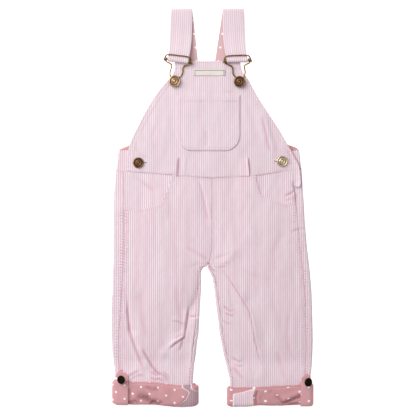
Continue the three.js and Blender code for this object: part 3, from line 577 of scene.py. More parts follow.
def striped_colour(tree, flat, pink, white):
    slub = grain(tree, stretched(tree, flat, SLUB), 1.0)
    ragged = calculate(tree, "MULTIPLY_ADD", slub, RAGGEDNESS, -RAGGEDNESS / 2)
    across = add(tree, "SeparateXYZ", {"Vector": flat}).outputs["X"]
    phase = calculate(tree, "MULTIPLY_ADD", across, 1 / STRIPE_PERIOD, ragged)
    stripe = ramp(tree, calculate(tree, "PINGPONG", phase, 0.5), *STRIPE_EDGE, curve="SMOOTHSTEP")
    washed = grain(tree, own_place(tree), 1 / WASHED_PATCH, 3.0)
    faded = blend(tree, washed, colour(pink[0]), colour(pink[1]))
    uneven = ramp(tree, grain(tree, stretched(tree, flat, STREAK), 1.0), 0.3, 0.7, low=0.55)
    return blend(tree, calculate(tree, "MULTIPLY", stripe, uneven), faded, colour(white))


def paint_fold_shade(tree, base, fold_shade_colour):
    """Painted shade: the colour mixes towards a darker one where the fold mark is high, standing in for
    the shade in a fold's inside and the light that bounces from cloth to cloth.
    """
    fold = add(tree, "Attribute", attribute_name="fold").outputs["Fac"]
    return blend(tree, calculate(tree, "MULTIPLY", fold, FOLD_SHADE_STRENGTH), base, colour(fold_shade_colour))


def striped_cotton(name, pink, white, fold_shade_colour):
    material, tree = finish(name)
    flat = cloth_map(tree)
    # Painted shade: the twill darkens in creases and seams where the fold mark is high
    dyed = paint_fold_shade(tree, striped_colour(tree, flat, pink, white), fold_shade_colour)
    slanted = add(tree, "Mapping", {"Vector": flat, "Rotation": (0, 0, TWILL_SLANT)})
    lines = add(tree, "TexWave", {
        "Vector": slanted.outputs[0], "Scale": 1 / (TWILL_PITCH * BANDS_PER_WAVE), "Distortion": 1.2,
        "Detail": 1.0, "Detail Scale": 2.0})
    fuzz = grain(tree, flat, 1 / FUZZ_GRAIN)
    relief = calculate(tree, "MULTIPLY_ADD", fuzz, 0.6, lines.outputs["Fac"])
    return surfaced(material, {
        "Base Color": dyed, "Roughness": 0.88, "Specular IOR Level": 0.25, "Sheen Weight": 0.18,
        "Sheen Roughness": 0.5, "Normal": bumps(tree, relief, 0.25, 0.2 * MM)})


twill = striped_cotton(
    "yarn-dyed striped cotton twill", ("#d5afbc", "#dab9c4"), "#e4dfe3", "#bd7390")
# A slightly darker, less saturated copy of the twill for the bib, pocket and straps: painted shade that
# evens out their brighter lighting
upper_twill = striped_cotton(
    "yarn-dyed striped cotton twill, painted darker", ("#d3b2bd", "#d8bbc4"), "#dfdadf", "#bd7390")

# %% [markdown]
# ### Dotted cotton lining
# The lining is a plain weave in dusty pink, printed with small white dots 3.3 mm across. The dots lie
# in staggered rows, so the print is two even lattices, one set half a step from the other, and a
# point is white where it is near enough to a lattice point. The print soaks in, so its edge is soft.
# On the right cuff the roll is twisted, so the print is drawn out and leans. Where a cuff's corner is
# turned, the striped face shows, and a painted highlight, a pale rim, marks its edge.

# %% Print the dotted lining
DOT_RADIUS = 1.65 * MM
DOT_STEP = (25 * MM, 20.5 * MM)
LINING_WEAVE = 0.7 * MM
LINING_PATCH = 14 * MM
DOT_COLOUR, RIM_HIGHLIGHT, LINING_FOLD_SHADE = "#f7eeee", "#e9dce0", "#7e4752"
RIM_INSET = 0.9


def print_place(tree, flat, twist):
    if not twist:
        return flat
    drawn_out = on_places(tree, "DOT_PRODUCT", flat, (twist["drawn_out"], 0, 0))
    leaning = on_places(tree, "DOT_PRODUCT", flat, (twist["lean"], 1, 0))
    pair = add(tree, "CombineXYZ", {"X": drawn_out, "Y": leaning}).outputs[0]
    return on_places(tree, "ADD", pair, (twist["start"][0] * MM, twist["start"][1] * MM, 0))


def nearest_dot(tree, place):
    """How far a point of the print lies from the middle of the nearest dot."""
    steps = on_places(tree, "MULTIPLY", place, (1 / DOT_STEP[0], 1 / DOT_STEP[1], 1))
    reaches = []
    for shift in (0.25, 0.75):
        cell = on_places(tree, "FRACTION", on_places(tree, "ADD", steps, (shift, shift, 0)))
        middle = on_places(tree, "SUBTRACT", cell, (0.5, 0.5, 0))
        reaches.append(on_places(tree, "LENGTH", on_places(tree, "MULTIPLY", middle, (*DOT_STEP, 0))))
    return calculate(tree, "MINIMUM", *reaches)


def dotted_cotton(name, ground, turned=None, twist=None):
    material, tree = finish(name)
    flat = cloth_map(tree)
    reach = nearest_dot(tree, print_place(tree, flat, twist))
    dot = ramp(tree, reach, DOT_RADIUS * 0.82, DOT_RADIUS * 1.15, 1.0, 0.0, curve="SMOOTHSTEP")
    cloudy = grain(tree, flat, 1 / LINING_PATCH, 3.0)
    cloth = blend(tree, cloudy, colour(ground[0]), colour(ground[1]))
    shown = blend(tree, dot, cloth, colour(DOT_COLOUR))
    if turned:
        inwards = add(tree, "Attribute", attribute_name="turned").outputs["Fac"]
        face = striped_colour(tree, flat, *turned)
        shown = blend(tree, ramp(tree, inwards, -0.4, 0.4), shown, face)
    # Painted shade: the lining darkens in creases and dents where the fold mark is high
    shown = paint_fold_shade(tree, shown, LINING_FOLD_SHADE)
    if turned:
        # Painted highlight: a pale line along the turned corner's edge, where the rolled edge catches the
        # light
        from_rim = calculate(tree, "ABSOLUTE", calculate(tree, "SUBTRACT", inwards, RIM_INSET))
        shown = blend(tree, ramp(tree, from_rim, 0.5, 1.1, 1.0, 0.0), shown, colour(RIM_HIGHLIGHT))
    waves = on_places(tree, "SINE", on_places(tree, "MULTIPLY", flat, (1 / LINING_WEAVE,) * 3))
    pair = add(tree, "SeparateXYZ", {"Vector": waves})
    weave = calculate(tree, "MULTIPLY", pair.outputs["X"], pair.outputs["Y"])
    return surfaced(material, {
        "Base Color": shown, "Roughness": 0.9, "Specular IOR Level": 0.2, "Sheen Weight": 0.12,
        "Sheen Roughness": 0.5, "Normal": bumps(tree, weave, 0.2, 0.15 * MM)})


lining = dotted_cotton("printed cotton lining", ("#cb9499", "#d3a2a6"))
# A paler, less saturated copy of the lining for the straps
strap_lining = dotted_cotton("printed cotton lining, paler", ("#cba5a8", "#d3b0b2"))
TURNED_FACE = (("#d6adbb", "#dbb7c3"), "#e7e1e4")
# The cuffs' grounds are darker copies of the lining's: painted shade of the rolled cuffs, deeper on the
# right one
cuff_linings = {
    "left": dotted_cotton(
        "printed cotton lining, turned corner", ("#c58e93", "#ce9ca0"), turned=TURNED_FACE),
    "right": dotted_cotton(
        "printed cotton lining, twisted", ("#c08a8f", "#ca989c"), turned=TURNED_FACE,
        twist={"drawn_out": 0.735, "lean": -0.138, "start": (47.7, 24.5)}),
}

# %% [markdown]
# ### Thread, ribbon and brass
# The seams are sewn with pale pink cotton thread. The label is a satin-faced woven ribbon. The
# buckles and buttons are antiqued brass: the metal was darkened with an acid bath and rubbed back, so
# a brown patina stays in the low places and the high ones shine.

# %% Spin the thread
PLY = 0.6 * MM


def cotton_thread(name, base):
    material, tree = finish(name)
    tone = blend(tree, grain(tree, own_place(tree), 1 / PLY), colour(base[0]), colour(base[1]))
    return surfaced(material, {"Base Color": tone, "Roughness": 0.7, "Sheen Weight": 0.2})


thread = cotton_thread("cotton sewing thread", ("#d6aebc", "#e7cdd6"))
pale_thread = cotton_thread("cotton buttonhole thread", ("#ece3e6", "#f8f4f5"))

# %% Weave the label ribbon
RIBBON_SIZE = (46.5 * MM, 9.75 * MM)
RIBBON_LINE = 0.36 * MM
RIBBON_LINE_INSET = (1.5 * MM, 2.0 * MM)
RIBBON_RIB = 0.5 * MM


def woven_ribbon(name):
    material, tree = finish(name)
    flat = cloth_map(tree)
    split = add(tree, "SeparateXYZ", {"Vector": flat})
    across = calculate(tree, "ABSOLUTE", split.outputs["X"])
    from_side = calculate(tree, "SUBTRACT", RIBBON_SIZE[0] / 2 - RIBBON_LINE_INSET[0], across)
    from_top = calculate(tree, "SUBTRACT", RIBBON_SIZE[1] - RIBBON_LINE_INSET[1], split.outputs["Y"])
    away = calculate(tree, "ABSOLUTE", calculate(tree, "MINIMUM", from_side, from_top))
    line = ramp(tree, away, RIBBON_LINE, RIBBON_LINE * 1.8, 0.95, 0.0)
    ribs = add(
        tree, "TexWave", {"Vector": flat, "Scale": 1 / (RIBBON_RIB * BANDS_PER_WAVE), "Distortion": 0.4},
        bands_direction="Y")
    return surfaced(material, {
        "Base Color": blend(tree, line, colour("#d6cec6"), colour("#6c7770")), "Roughness": 0.55,
        "Sheen Weight": 0.1, "Normal": bumps(tree, ribs.outputs["Fac"], 0.2, 0.1 * MM)})


ribbon = woven_ribbon("woven satin ribbon")

# %% Darken the brass
PATINA_PATCH = 2.4 * MM
BRASS_GRAIN = 0.3 * MM
RUBBED = 0.42
DULLER = 0.22


def antique_brass(name, bright, dark, patina, polish, stamped=False):
    material, tree = finish(name)
    place = own_place(tree)
    bare = add(tree, "TexNoise", {
        "Vector": place, "Scale": 1 / PATINA_PATCH, "Detail": 5.0, "Roughness": 0.6}).outputs["Fac"]
    if stamped:
        high = add(tree, "Attribute", attribute_name="worn").outputs["Fac"]
        bare = calculate(tree, "MULTIPLY_ADD", high, RUBBED, bare)
        bare = calculate(tree, "SUBTRACT", bare, RUBBED / 2)
    worn = ramp(tree, bare, patina - 0.12, patina + 0.14)
    scratches = grain(tree, place, 1 / BRASS_GRAIN)
    return surfaced(material, {
        "Base Color": blend(tree, worn, colour(dark), colour(bright)), "Metallic": 1.0,
        "Roughness": ramp(tree, worn, 0.0, 1.0, polish + DULLER, polish),
        "Normal": bumps(tree, scratches, 0.15, 0.1 * MM)})


brass = antique_brass("antiqued brass wire", "#a98955", "#4c3926", 0.48, 0.32)
tan_brass = antique_brass("antiqued brass, rubbed", "#c4a47e", "#6b5440", 0.46, 0.34, stamped=True)
brown_brass = antique_brass("antiqued brass, brown", "#8a6a4c", "#4b3524", 0.50, 0.40, stamped=True)
bright_brass = antique_brass("polished brass", "#d6c2a6", "#85705a", 0.42, 0.30, stamped=True)
dark_brass = antique_brass("oxidised brass", "#3b3128", "#1a1612", 0.56, 0.50, stamped=True)
print("finishes made:", len(bpy.data.materials))

# %% [markdown]
# ## Trouser fronts
# Each front is one panel, from the cuff to the waist seam, with the scoop of the pocket cut out of its
# upper outer corner. Its rows bend with the waist seam, and its stripes run straight up and down on
# both legs. The left front laps under the right one at the centre seam.

# %% Lay the trouser fronts
COTTON = [twill, lining]
PANEL_WALL = 1.0
CENTRE_LAP = 3.5
WAIST_LAP = 4.0
LAP_DEPTH = PANEL_WALL + 0.15
FRONT_ROWS = ([0, 0.66, 0.86, 1], [LEG_END, -12, 22, WAIST_ROW])


def crowd(u, amount=0.6):
    return u - amount * np.sin(2 * np.pi * u) / (2 * np.pi)


def bend_with_waist(x, row):
    return np.where(row > 0, row * (waist_at(x) - SEAM_GAP / 2) / WAIST_ROW, row)


def front_place(leg):
    side = leg["side"]

    def place(u, v):
        row = np.interp(v, *FRONT_ROWS)
        scooped = row >= leg["mouth_end"]
        seam = np.where(scooped, leg["mouth"](row), leg["outseam"](row)) - side * SEAM_GAP / 2
        lap = CENTRE_LAP * smooth(-86, -80, row) if side < 0 else 0.0
        centre = leg["inseam"](row) + side * SEAM_GAP / 2 + lap
        left, right = (seam, centre) if side < 0 else (centre, seam)
        x = mix(left, right, crowd(u))
        under_bib = WAIST_LAP * smooth(50, WAIST_ROW, row)
        y = bend_with_waist(x, row) + under_bib
        under = LAP_DEPTH * smooth(0.48, 0.7, under_bib / WAIST_LAP)
        if side < 0:
            tucked = smooth(-0.45, 0.15, x - leg["inseam"](row)) * (lap > 0)
            under = np.maximum(under, LAP_DEPTH * tucked)
        return x, y, face_height(x, y) - under, x, y

    return place


for name, leg in LEGS.items():
    front_grid = grid_of_cloth(112, 340, front_place(leg), fold=fold_shade)
    front = sheet_of_cloth(f"trouser_front_{name}", front_grid, PANEL_WALL, COTTON)
    dress(f"leg_front_{name}", front)

# %% [markdown]
# ## Trouser backs
# The backs wrap round both edges of the legs, so each is a sheet with a C-shaped section: from the
# outer seam on the face, over the rounded edge, along the table, and up the inner edge to the inner
# seam. Above the crotch it ends at the centre seam on the table. Stations along the section carry
# their share of the grid's columns, and the distance between them gives the cloth map.

# %% Wrap the trouser backs
BACK_ROWS = ([0, 0.56, 0.66, 1], [LEG_END, -100, -78, WAIST_ROW])
SIDE_LEVEL = 4.5
CENTRE_REACH = 16.0
HALF_TURN = np.linspace(math.pi / 2, -math.pi / 2, 9)
# How far past the seam each point lies, and how far below the face: the turning, then the face
OUTSEAM_TURNING = [(-3.0, 1.3), (-0.2, 1.1), (0.3, 0.25), (1.2, 0.02)]
INSEAM_TURNING = [(-0.5, 0.1), (0.1, 1.1), (3.0, 1.3)]
CROTCH_ROWS = (-88, -85)


def back_section(leg, row):
    side = leg["side"]
    low = float(climb(row))
    seam = float(leg["outseam"](row))
    drop = float(smooth(-8, 22, row))
    high = mix(float(face_height(seam, row)), SIDE_LEVEL, drop)
    radius = (high - low) / 2
    centre = float(leg["outer"](row)) - side * radius
    points = [(seam + side * past, high - below) for past, below in OUTSEAM_TURNING]
    face_start = points[-1][0]
    points += [(mix(face_start, centre, k / 5), high) for k in range(1, 5)]
    points += [
        (centre + side * radius * math.cos(a), low + radius * (1 + math.sin(a))) for a in HALF_TURN
    ]
    inseam = float(leg["inseam"](row))
    inner_high = float(face_height(inseam, row))
    inner_radius = (inner_high - low) / 2
    inner = float(leg["inner"](row)) + side * inner_radius
    wrapped = 1 - float(smooth(*CROTCH_ROWS, row))
    end_x = inseam + side * SEAM_GAP / 2
    tail = [
        (inner - side * inner_radius * math.cos(a), low + inner_radius * (1 + math.sin(a)))
        for a in reversed(HALF_TURN)
    ]
    tail += [(inseam + side * past, inner_high - below) for past, below in INSEAM_TURNING]
    flat = [(mix(end_x + side * CENTRE_REACH, end_x, k / 11), low) for k in range(12)]
    tail = [(mix(fx, tx, wrapped), mix(fz, tz, wrapped)) for (fx, fz), (tx, tz) in zip(flat, tail)]
    start = points[-1][0]
    points += [(mix(start, tail[0][0], k / 12), low) for k in range(1, 12)]
    return np.array(points + tail)


BACK_STATIONS = np.concatenate([
    [0.0, 0.02, 0.04, 0.06], np.linspace(0.06, 0.22, 6)[1:-1], np.linspace(0.22, 0.34, 9),
    np.linspace(0.34, 0.72, 13)[1:-1], np.linspace(0.72, 0.88, 9), [0.92, 0.95, 1.0],
])


# %% Carry the section along the leg
def back_place(leg):
    side = leg["side"]

    def place(u, v):
        row = np.interp(v, *BACK_ROWS)
        turned = 1 - u if side < 0 else u
        x, z, across = np.empty(len(u)), np.empty(len(u)), np.empty(len(u))
        for level in np.unique(row):
            here = row == level
            section = back_section(leg, float(level))
            lengths = lengths_along(section)
            x[here] = np.interp(turned[here], BACK_STATIONS, section[:, 0])
            z[here] = np.interp(turned[here], BACK_STATIONS, section[:, 1])
            across[here] = section[0, 0] + side * np.interp(turned[here], BACK_STATIONS, lengths)
        y = bend_with_waist(x, row)
        resting = (z < climb(row) + 0.05) & (row > -236)
        hollow = np.clip(0.9 * unevenness(x, y, 24.0, 2.2, 11.0), 0, 1)
        on_face = smooth(3.5, 6.0, z - climb(row)) * (row < 0)
        return x, y, z + np.where(resting, hollow, 0) + on_face * puckers(x, y), across, y

    return place


for name, leg in LEGS.items():
    back_grid = grid_of_cloth(104, 280, back_place(leg), fold=seam_shade)
    back = sheet_of_cloth(f"trouser_back_{name}", back_grid, PANEL_WALL, COTTON)
    dress(f"leg_back_{name}", back)

# %% [markdown]
# ## Bib
# The bib tapers to its hem, and at the right its lower corner runs on below the waist, over the side
# opening. A buttonhole is a real slit. Four planes cut the grid along the slit's sides, and the faces
# between them are removed, before the wall is given.

# %% Shape the bib
BIB_WALL = 1.1
BIB_ROWS = ([0, 0.16, 1], [BIB_BOTTOM, 62, BIB_TOP])
HEM_RISE, SIDE_HEM_RISE, CORNER_CURL = 0.25, 0.12, 2.0
RIPPLE_RISE, RIPPLE_PITCH = 0.18, 6.1
BUTTONHOLE = (13.0, 1.4)
SIDE_BUTTONS = {"left": (-110.25, 67.0, -104.5), "right": (105.3, 69.3, 99.5)}


def bib_height(x, y):
    level = np.maximum(face_height(x, y), face_level(np.maximum(y, WAIST_ROW)))
    from_left, from_right = x - bib_left(y), bib_right(y) - x
    hem = HEM_RISE * smooth(12.5, 10.5, BIB_TOP - y)
    side = SIDE_HEM_RISE * (smooth(11, 8, from_left) + smooth(11, 8, from_right))
    curl = CORNER_CURL * smooth(9, 0, from_right) * smooth(78, WAIST_ROW, y)
    wave = RIPPLE_RISE * np.sin(2 * np.pi * y / RIPPLE_PITCH)
    ripple = wave * (smooth(9, 2, from_left) + smooth(9, 2, from_right))
    return level + hem + side * smooth(60, 80, y) + curl + ripple


def bib_place(u, v):
    along = np.interp(v, *BIB_ROWS)
    x = mix(bib_left(along), bib_right(along), crowd(u, 0.5))
    tongue = smooth(TONGUE_FROM, TONGUE_TO, x)
    round_corner = 5.0 * smooth(128, 134.5, x) ** 2
    bottom = mix(waist_at(x) + SEAM_GAP / 2, TONGUE_BOTTOM + round_corner, tongue)
    stretch = (along - BIB_BOTTOM) / (BIB_ROWS[1][1] - BIB_BOTTOM)
    y = np.where(stretch < 1, mix(bottom, BIB_ROWS[1][1], stretch), along)
    return x, y, bib_height(x, y), x, y


def cut_slit(bm, x, y, width, height):
    left, right = (x - width / 2) * MM, (x + width / 2) * MM
    low, high = (y - height / 2) * MM, (y + height / 2) * MM
    edge = 4 * MM
    for point, normal in (
        ((left, 0, 0), (1, 0, 0)), ((right, 0, 0), (1, 0, 0)),
        ((0, low, 0), (0, 1, 0)), ((0, high, 0), (0, 1, 0)),
    ):
        near = [f for f in bm.faces if left - edge < f.calc_center_median().x < right + edge
                and low - edge < f.calc_center_median().y < high + edge]
        geometry = near + list({e for f in near for e in f.edges} | {v for f in near for v in f.verts})
        bmesh.ops.bisect_plane(bm, geom=geometry, plane_co=point, plane_no=normal, dist=1e-7)
    inside = [f for f in bm.faces if left < f.calc_center_median().x < right
              and low < f.calc_center_median().y < high]
    bmesh.ops.delete(bm, geom=inside, context="FACES")


bib_grid = grid_of_cloth(124, 120, bib_place, fold=fold_shade)
for x, y, hole in SIDE_BUTTONS.values():
    cut_slit(bib_grid, hole, y, *BUTTONHOLE)
bib = sheet_of_cloth("front_bib", bib_grid, BIB_WALL, [upper_twill, lining])
dress("bib", bib)

# %% [markdown]
# ## Back bib and side openings
# Behind the bib lies the high back that the straps are sewn to. Its outer side is on the table, and
# its lining shows in the side openings. Its edges fold up and over, and become the button stands that
# carry the side buttons.

# %% Lay the back bib and the button stands
BACK_TOP = 125.0
BACK_EDGES = [
    (125, -42.5, 21.5, 0), (112, -72, 52, 0), (101, -104, 92, 0), (95, -122, 113, 0),
    (91, -131, 126, 0), (88, -139, 130, 0), (85, -141, 131, 1), (70, -142.3, 132.5, 1),
    (52, -145, 134.7, 1),
]
FOLD_RADIUS = SIDE_LEVEL / 2
STAND_TOP, STAND_BOTTOM = 86.0, 52.0
STAND_INNER = {-1: -97.0, 1: 92.0}
STAND_FLAT_SHARE, STAND_FOLD_SHARE = 0.7, 0.3
back_left, back_right, back_curl = (reader(BACK_EDGES, column) for column in (1, 2, 3))


def back_bib_place(u, v):
    row = mix(BACK_TOP, STAND_BOTTOM, v)
    radius = FOLD_RADIUS * back_curl(row)
    left, right = back_left(row), back_right(row)
    x = mix(left, right, crowd(u, 0.7))
    near = np.minimum(x - left, right - x)
    lift = radius - np.sqrt(np.clip(radius**2 - np.clip(radius - near, 0, None) ** 2, 0, None))
    bottom = waist_at(x) + SEAM_GAP / 2
    y = np.where(row < 60, mix(60, bottom, (60 - row) / (60 - STAND_BOTTOM)), row)
    z = np.minimum(lift, FOLD_RADIUS - SEAM_GAP / 2)
    soft = np.clip(0.8 * unevenness(x, y, 22.0, 1.0, 2.0), 0, 1) * smooth(1.5, 6, near)
    return x, y, z + soft, x, y


def stand_place(side):
    edge_at = back_left if side < 0 else back_right
    inner = STAND_INNER[side]

    def place(u, v):
        turned = 1 - u if side < 0 else u
        row = mix(STAND_BOTTOM, STAND_TOP, v)
        edge = edge_at(np.minimum(row, STAND_TOP - 1))
        centre = edge - side * FOLD_RADIUS
        on_fold = turned > STAND_FLAT_SHARE
        angle = np.clip((turned - STAND_FLAT_SHARE) / STAND_FOLD_SHARE, 0, 1) * math.pi / 2
        flat_x = mix(inner, centre, np.clip(turned / STAND_FLAT_SHARE, 0, 1))
        x = np.where(on_fold, centre + side * FOLD_RADIUS * np.sin(angle), flat_x)
        z = np.where(on_fold, FOLD_RADIUS * (1 + np.cos(angle)), SIDE_LEVEL)
        z = np.maximum(z, FOLD_RADIUS + SEAM_GAP / 2)
        bottom = waist_at(x) + SEAM_GAP / 2
        top = STAND_TOP + (0.25 * (x - 126) if side > 0 else 0.0)
        y = mix(bottom, top, (row - STAND_BOTTOM) / (STAND_TOP - STAND_BOTTOM))
        across = np.where(on_fold, centre + side * FOLD_RADIUS * angle, flat_x)
        return x, y, z, across, y

    return place


back_bib = sheet_of_cloth("rear_bib", grid_of_cloth(110, 50, back_bib_place), PANEL_WALL, COTTON)
dress("back_bib", back_bib)
for name, leg in LEGS.items():
    stand_grid = grid_of_cloth(60, 40, stand_place(leg["side"]), fold=seam_shade)
    stand = sheet_of_cloth(f"button_stand_{name}", stand_grid, PANEL_WALL, COTTON)
    dress(f"side_placket_{name}", stand)

# %% [markdown]
# ## Hip facings
# The scooped pockets are backed by a facing of the same cloth, which runs out to the side seam. It
# lies one wall lower than the fronts, and the step between them is the pocket's mouth.

# %% Lay the hip facings
FACING_WALL = 1.0
FACING_TUCK = 7.0
FACING_STRIPE_SHIFT = 1.1


def facing_place(leg):
    side = leg["side"]
    low = leg["mouth_end"] - FACING_TUCK - 2
    most = abs(leg["mouth_rows"][0][1]) + 8

    def place(u, v):
        row = mix(low, WAIST_ROW, v)
        seam = leg["outseam"](row) - side * SEAM_GAP
        tuck = side * np.minimum(np.abs(leg["mouth"](row)) - FACING_TUCK, most)
        left, right = (seam, tuck) if side < 0 else (tuck, seam)
        x = mix(left, right, u)
        y = bend_with_waist(x, row)
        under_front = np.maximum(
            smooth(2, 30, np.abs(x - seam)), smooth(2, -2, row - leg["mouth_end"]))
        sunk = (PANEL_WALL + SEAM_GAP) * under_front
        return x, y, face_height(x, y) - sunk, x + FACING_STRIPE_SHIFT, y

    return place


for name, leg in LEGS.items():
    facing_grid = grid_of_cloth(44, 60, facing_place(leg), fold=fold_shade)
    facing = sheet_of_cloth(f"hip_facing_{name}", facing_grid, FACING_WALL, COTTON)
    dress(f"pocket_facing_{name}", facing)

# %% [markdown]
# ## Patch pocket, belt loops and label
# These are small pieces sewn on the face. The pocket has a round bottom and a hem, the loops arch over
# the waist seam, and the label is a bare ribbon on the bib's hem.

# %% Sew on the pocket, the loops and the label
PATCH_WALL = 0.9
PATCH_GAP = 0.3
LABEL_WALL = 0.8
POCKET_CENTRE, POCKET_HALF, POCKET_CORNER = -5.2, 48.1, 25.0
POCKET_TOP, POCKET_BOTTOM = 168.75, 84.3
POCKET_STRIPE_SHIFT = 0.4
LABEL_LEFT, LABEL_RIGHT, LABEL_BOTTOM, LABEL_TOP = -27.0, 19.5, 198.0, 207.75
LOOP_WIDTH, LOOP_BOTTOM, LOOP_TOP, LOOP_ARCH = 13.5, 47.0, 75.0, 1.5
LOOP_SPLAY = 2.4
LOOP_LEFT = {"left": -51.3, "right": 40.5}


def pocket_half(up):
    drop = np.clip(POCKET_CORNER - up, 0, POCKET_CORNER)
    return POCKET_HALF - POCKET_CORNER + np.sqrt(POCKET_CORNER**2 - drop**2)


def pocket_place(u, v):
    up = (POCKET_TOP - POCKET_BOTTOM) * v**1.35
    half = pocket_half(up)
    x = POCKET_CENTRE + half * (2 * crowd(u, 0.5) - 1)
    y = POCKET_BOTTOM + up
    z = face_height(x, y) + PATCH_GAP + PATCH_WALL
    near = np.minimum(half - np.abs(x - POCKET_CENTRE), up)
    z = z + 0.2 * smooth(9.5, 8, POCKET_TOP - y) + 0.15 * smooth(7, 5, near)
    return x, y, z - 1.15 * smooth(2.6, 0, near), x + POCKET_STRIPE_SHIFT, y


def pocket_shade(x, y):
    half = pocket_half(y - POCKET_BOTTOM)
    near = np.minimum(half - np.abs(x - POCKET_CENTRE), y - POCKET_BOTTOM)
    return np.clip(fold_shade(x, y) + 0.2 * smooth(1.2, 0, near), 0, 1)


def label_place(u, v):
    x, y = mix(LABEL_LEFT, LABEL_RIGHT, u), mix(LABEL_BOTTOM, LABEL_TOP, v)
    z = bib_height(x, y) + PATCH_GAP + LABEL_WALL
    return x, y, z, x - (LABEL_LEFT + LABEL_RIGHT) / 2, y - LABEL_BOTTOM


def loop_place(left, side):
    def place(u, v):
        y = mix(LOOP_BOTTOM, LOOP_TOP, v)
        x = left + LOOP_WIDTH * u + side * LOOP_SPLAY * (1 - v)
        open_side = u if side > 0 else 1 - u
        raised = smooth(0.72, 1, open_side)
        arch = LOOP_ARCH * np.sin(np.pi * v) ** 0.8 * raised
        lift = mix(0.25, PATCH_GAP + PATCH_WALL, raised)
        return x, y, face_height(x, y) + lift + arch, x, y

    return place


def loop_shade(left, side):
    edge = left + (LOOP_WIDTH if side > 0 else 0)

    def shade(x, y):
        away = x - edge - side * LOOP_SPLAY * (LOOP_TOP - y) / (LOOP_TOP - LOOP_BOTTOM)
        return 1.6 * bell(away, 0.7) + 0.6 * smooth(1.4, 0, y - LOOP_BOTTOM)

    return shade


pocket = sheet_of_cloth(
    "patch_pocket", grid_of_cloth(64, 64, pocket_place, fold=pocket_shade), PATCH_WALL,
    [upper_twill, lining])
dress("bib_pocket", pocket)
label = sheet_of_cloth(
    "ribbon_label", grid_of_cloth(40, 10, label_place), LABEL_WALL, [ribbon], rim=0.2)
keep(label, ["label"])
for name, left in LOOP_LEFT.items():
    side = LEGS[name]["side"]
    loop_grid = grid_of_cloth(20, 30, loop_place(left, side), fold=loop_shade(left, side))
    loop = sheet_of_cloth(f"waist_loop_{name}", loop_grid, PATCH_WALL, COTTON)
    dress(f"belt_loop_{name}", loop)

# %% [markdown]
# ## Shoulder straps
# A strap is one band. It runs up the back with its lining side uppermost, folds over at the top, comes
# down the front, goes round the buckle's bar, and ends as a short tail behind itself. The centre line
# is a table of places; each is averaged with its neighbours so that the folds are round.

# %% Run the straps
STRAP_WALL = 1.7
STRAP_WIDTH = 31.6
STRAP_AT_BAR, STRAP_AT_FOLD = 30.8, 33.0
STRAP_PRINT = (-4.5, -7.8)
STRAP_FOLD = 298.0
BAR_Y, BAR_Z = 219.9, 8.4
LOOP_RADIUS = 2.3
STRAP_ENDS = {
    "left": {"root": -26.6, "fold": -45.3, "bar": -51.2, "tilt": -0.126,
             "fall": [(219.9, -51.2), (230, -49.0), (249, -47.4), (298, -45.3)]},
    "right": {"root": 5.8, "fold": 31.9, "bar": 38.2, "tilt": 0.031,
              "fall": [(219.9, 38.2), (230, 35.6), (249, 33.6), (298, 31.9)]},
}
BACK_RUN = [(125.3, 0.9), (150, 0.9), (180, 0.9), (210, 0.9), (240, 0.9), (265, 0.9), (284, 1.0)]
FOLD_RUN = [(294.4, 1.3), (297.8, 2.4), (298.8, 3.6), (297.8, 4.8), (294.4, 5.3)]
FRONT_RUN = [
    (284, 4.9), (272, 4.2), (262, 4.1), (254, 4.8), (246, 6.1), (238, 7.7), (231, 8.9), (225, 9.6),
]
TAIL_RUN = [(225, 6.1), (231, 6.0), (238, 5.6)]
loop_run = [
    (BAR_Y - LOOP_RADIUS * math.cos(a), BAR_Z + LOOP_RADIUS * math.sin(a)) for a in HALF_TURN
]
STRAP_LINE = np.array(BACK_RUN + FOLD_RUN + FRONT_RUN + loop_run + TAIL_RUN)


def strap_place(ends):
    steps = lengths_along(STRAP_LINE)
    fine = np.linspace(0, steps[-1], 900)
    spread = np.array([-1.6, -0.8, 0, 0.8, 1.6])
    y = sum(np.interp(fine + d, steps, STRAP_LINE[:, 0]) for d in spread) / len(spread)
    z = sum(np.interp(fine + d, steps, STRAP_LINE[:, 1]) for d in spread) / len(spread)
    on_back = fine < steps[len(BACK_RUN) + 2]
    climbing = mix(ends["root"], ends["fold"], (y - BACK_TOP) / (STRAP_FOLD - BACK_TOP))
    falling = reader(ends["fall"], 1, 5)(y)
    x = np.where(on_back, climbing, falling)
    turn = np.where(on_back, 0, ends["tilt"] * (1 - smooth(238, 264, y)))

    def place(u, v):
        reach = v * fine[-1]
        px, py, pz = (np.interp(reach, fine, line) for line in (x, y, z))
        falling_width = mix(STRAP_AT_BAR, STRAP_AT_FOLD, smooth(224, 256, py))
        past_fold = smooth(steps[len(BACK_RUN) - 1], steps[len(BACK_RUN) + len(FOLD_RUN)], reach)
        across = mix(STRAP_WIDTH, falling_width, past_fold) * (0.5 - u)
        front = np.interp(reach, fine, (~on_back).astype(float))
        soft = 0.35 * unevenness(across, reach, 14.0, 2.0, 9.0) * smooth(0, 12, np.abs(py - BAR_Y))
        cup = np.where(front > 0.5, -0.25, 0.25) * (2 * across / STRAP_WIDTH) ** 4
        lift = np.where(pz > 1.5, soft + cup, np.abs(soft))
        leaning = py + across * np.interp(reach, fine, turn)
        return px + across, leaning, pz + lift, STRAP_PRINT[0] - across, STRAP_PRINT[1] + reach

    return place


for name, ends in STRAP_ENDS.items():
    strap = sheet_of_cloth(
        f"shoulder_strap_{name}", grid_of_cloth(16, 260, strap_place(ends)), STRAP_WALL,
        [upper_twill, strap_lining], offset=0.0)
    dress(f"strap_{name}", strap)

# %% [markdown]
# ## Turned-up cuffs
# The end of each leg is turned up twice, so the lining faces out. The roll is a ring of cloth round
# the leg: from inside it comes down, turns round the bottom edge, climbs the outside, and tucks in at
# the top, where the layers stand in steps. The sections of the ring are carried round the leg's flat
# oval, and the face has a few dents of its own. On each cuff one corner is turned and shows the
# striped face. The right cuff is twisted, and its finish draws the print out to match.

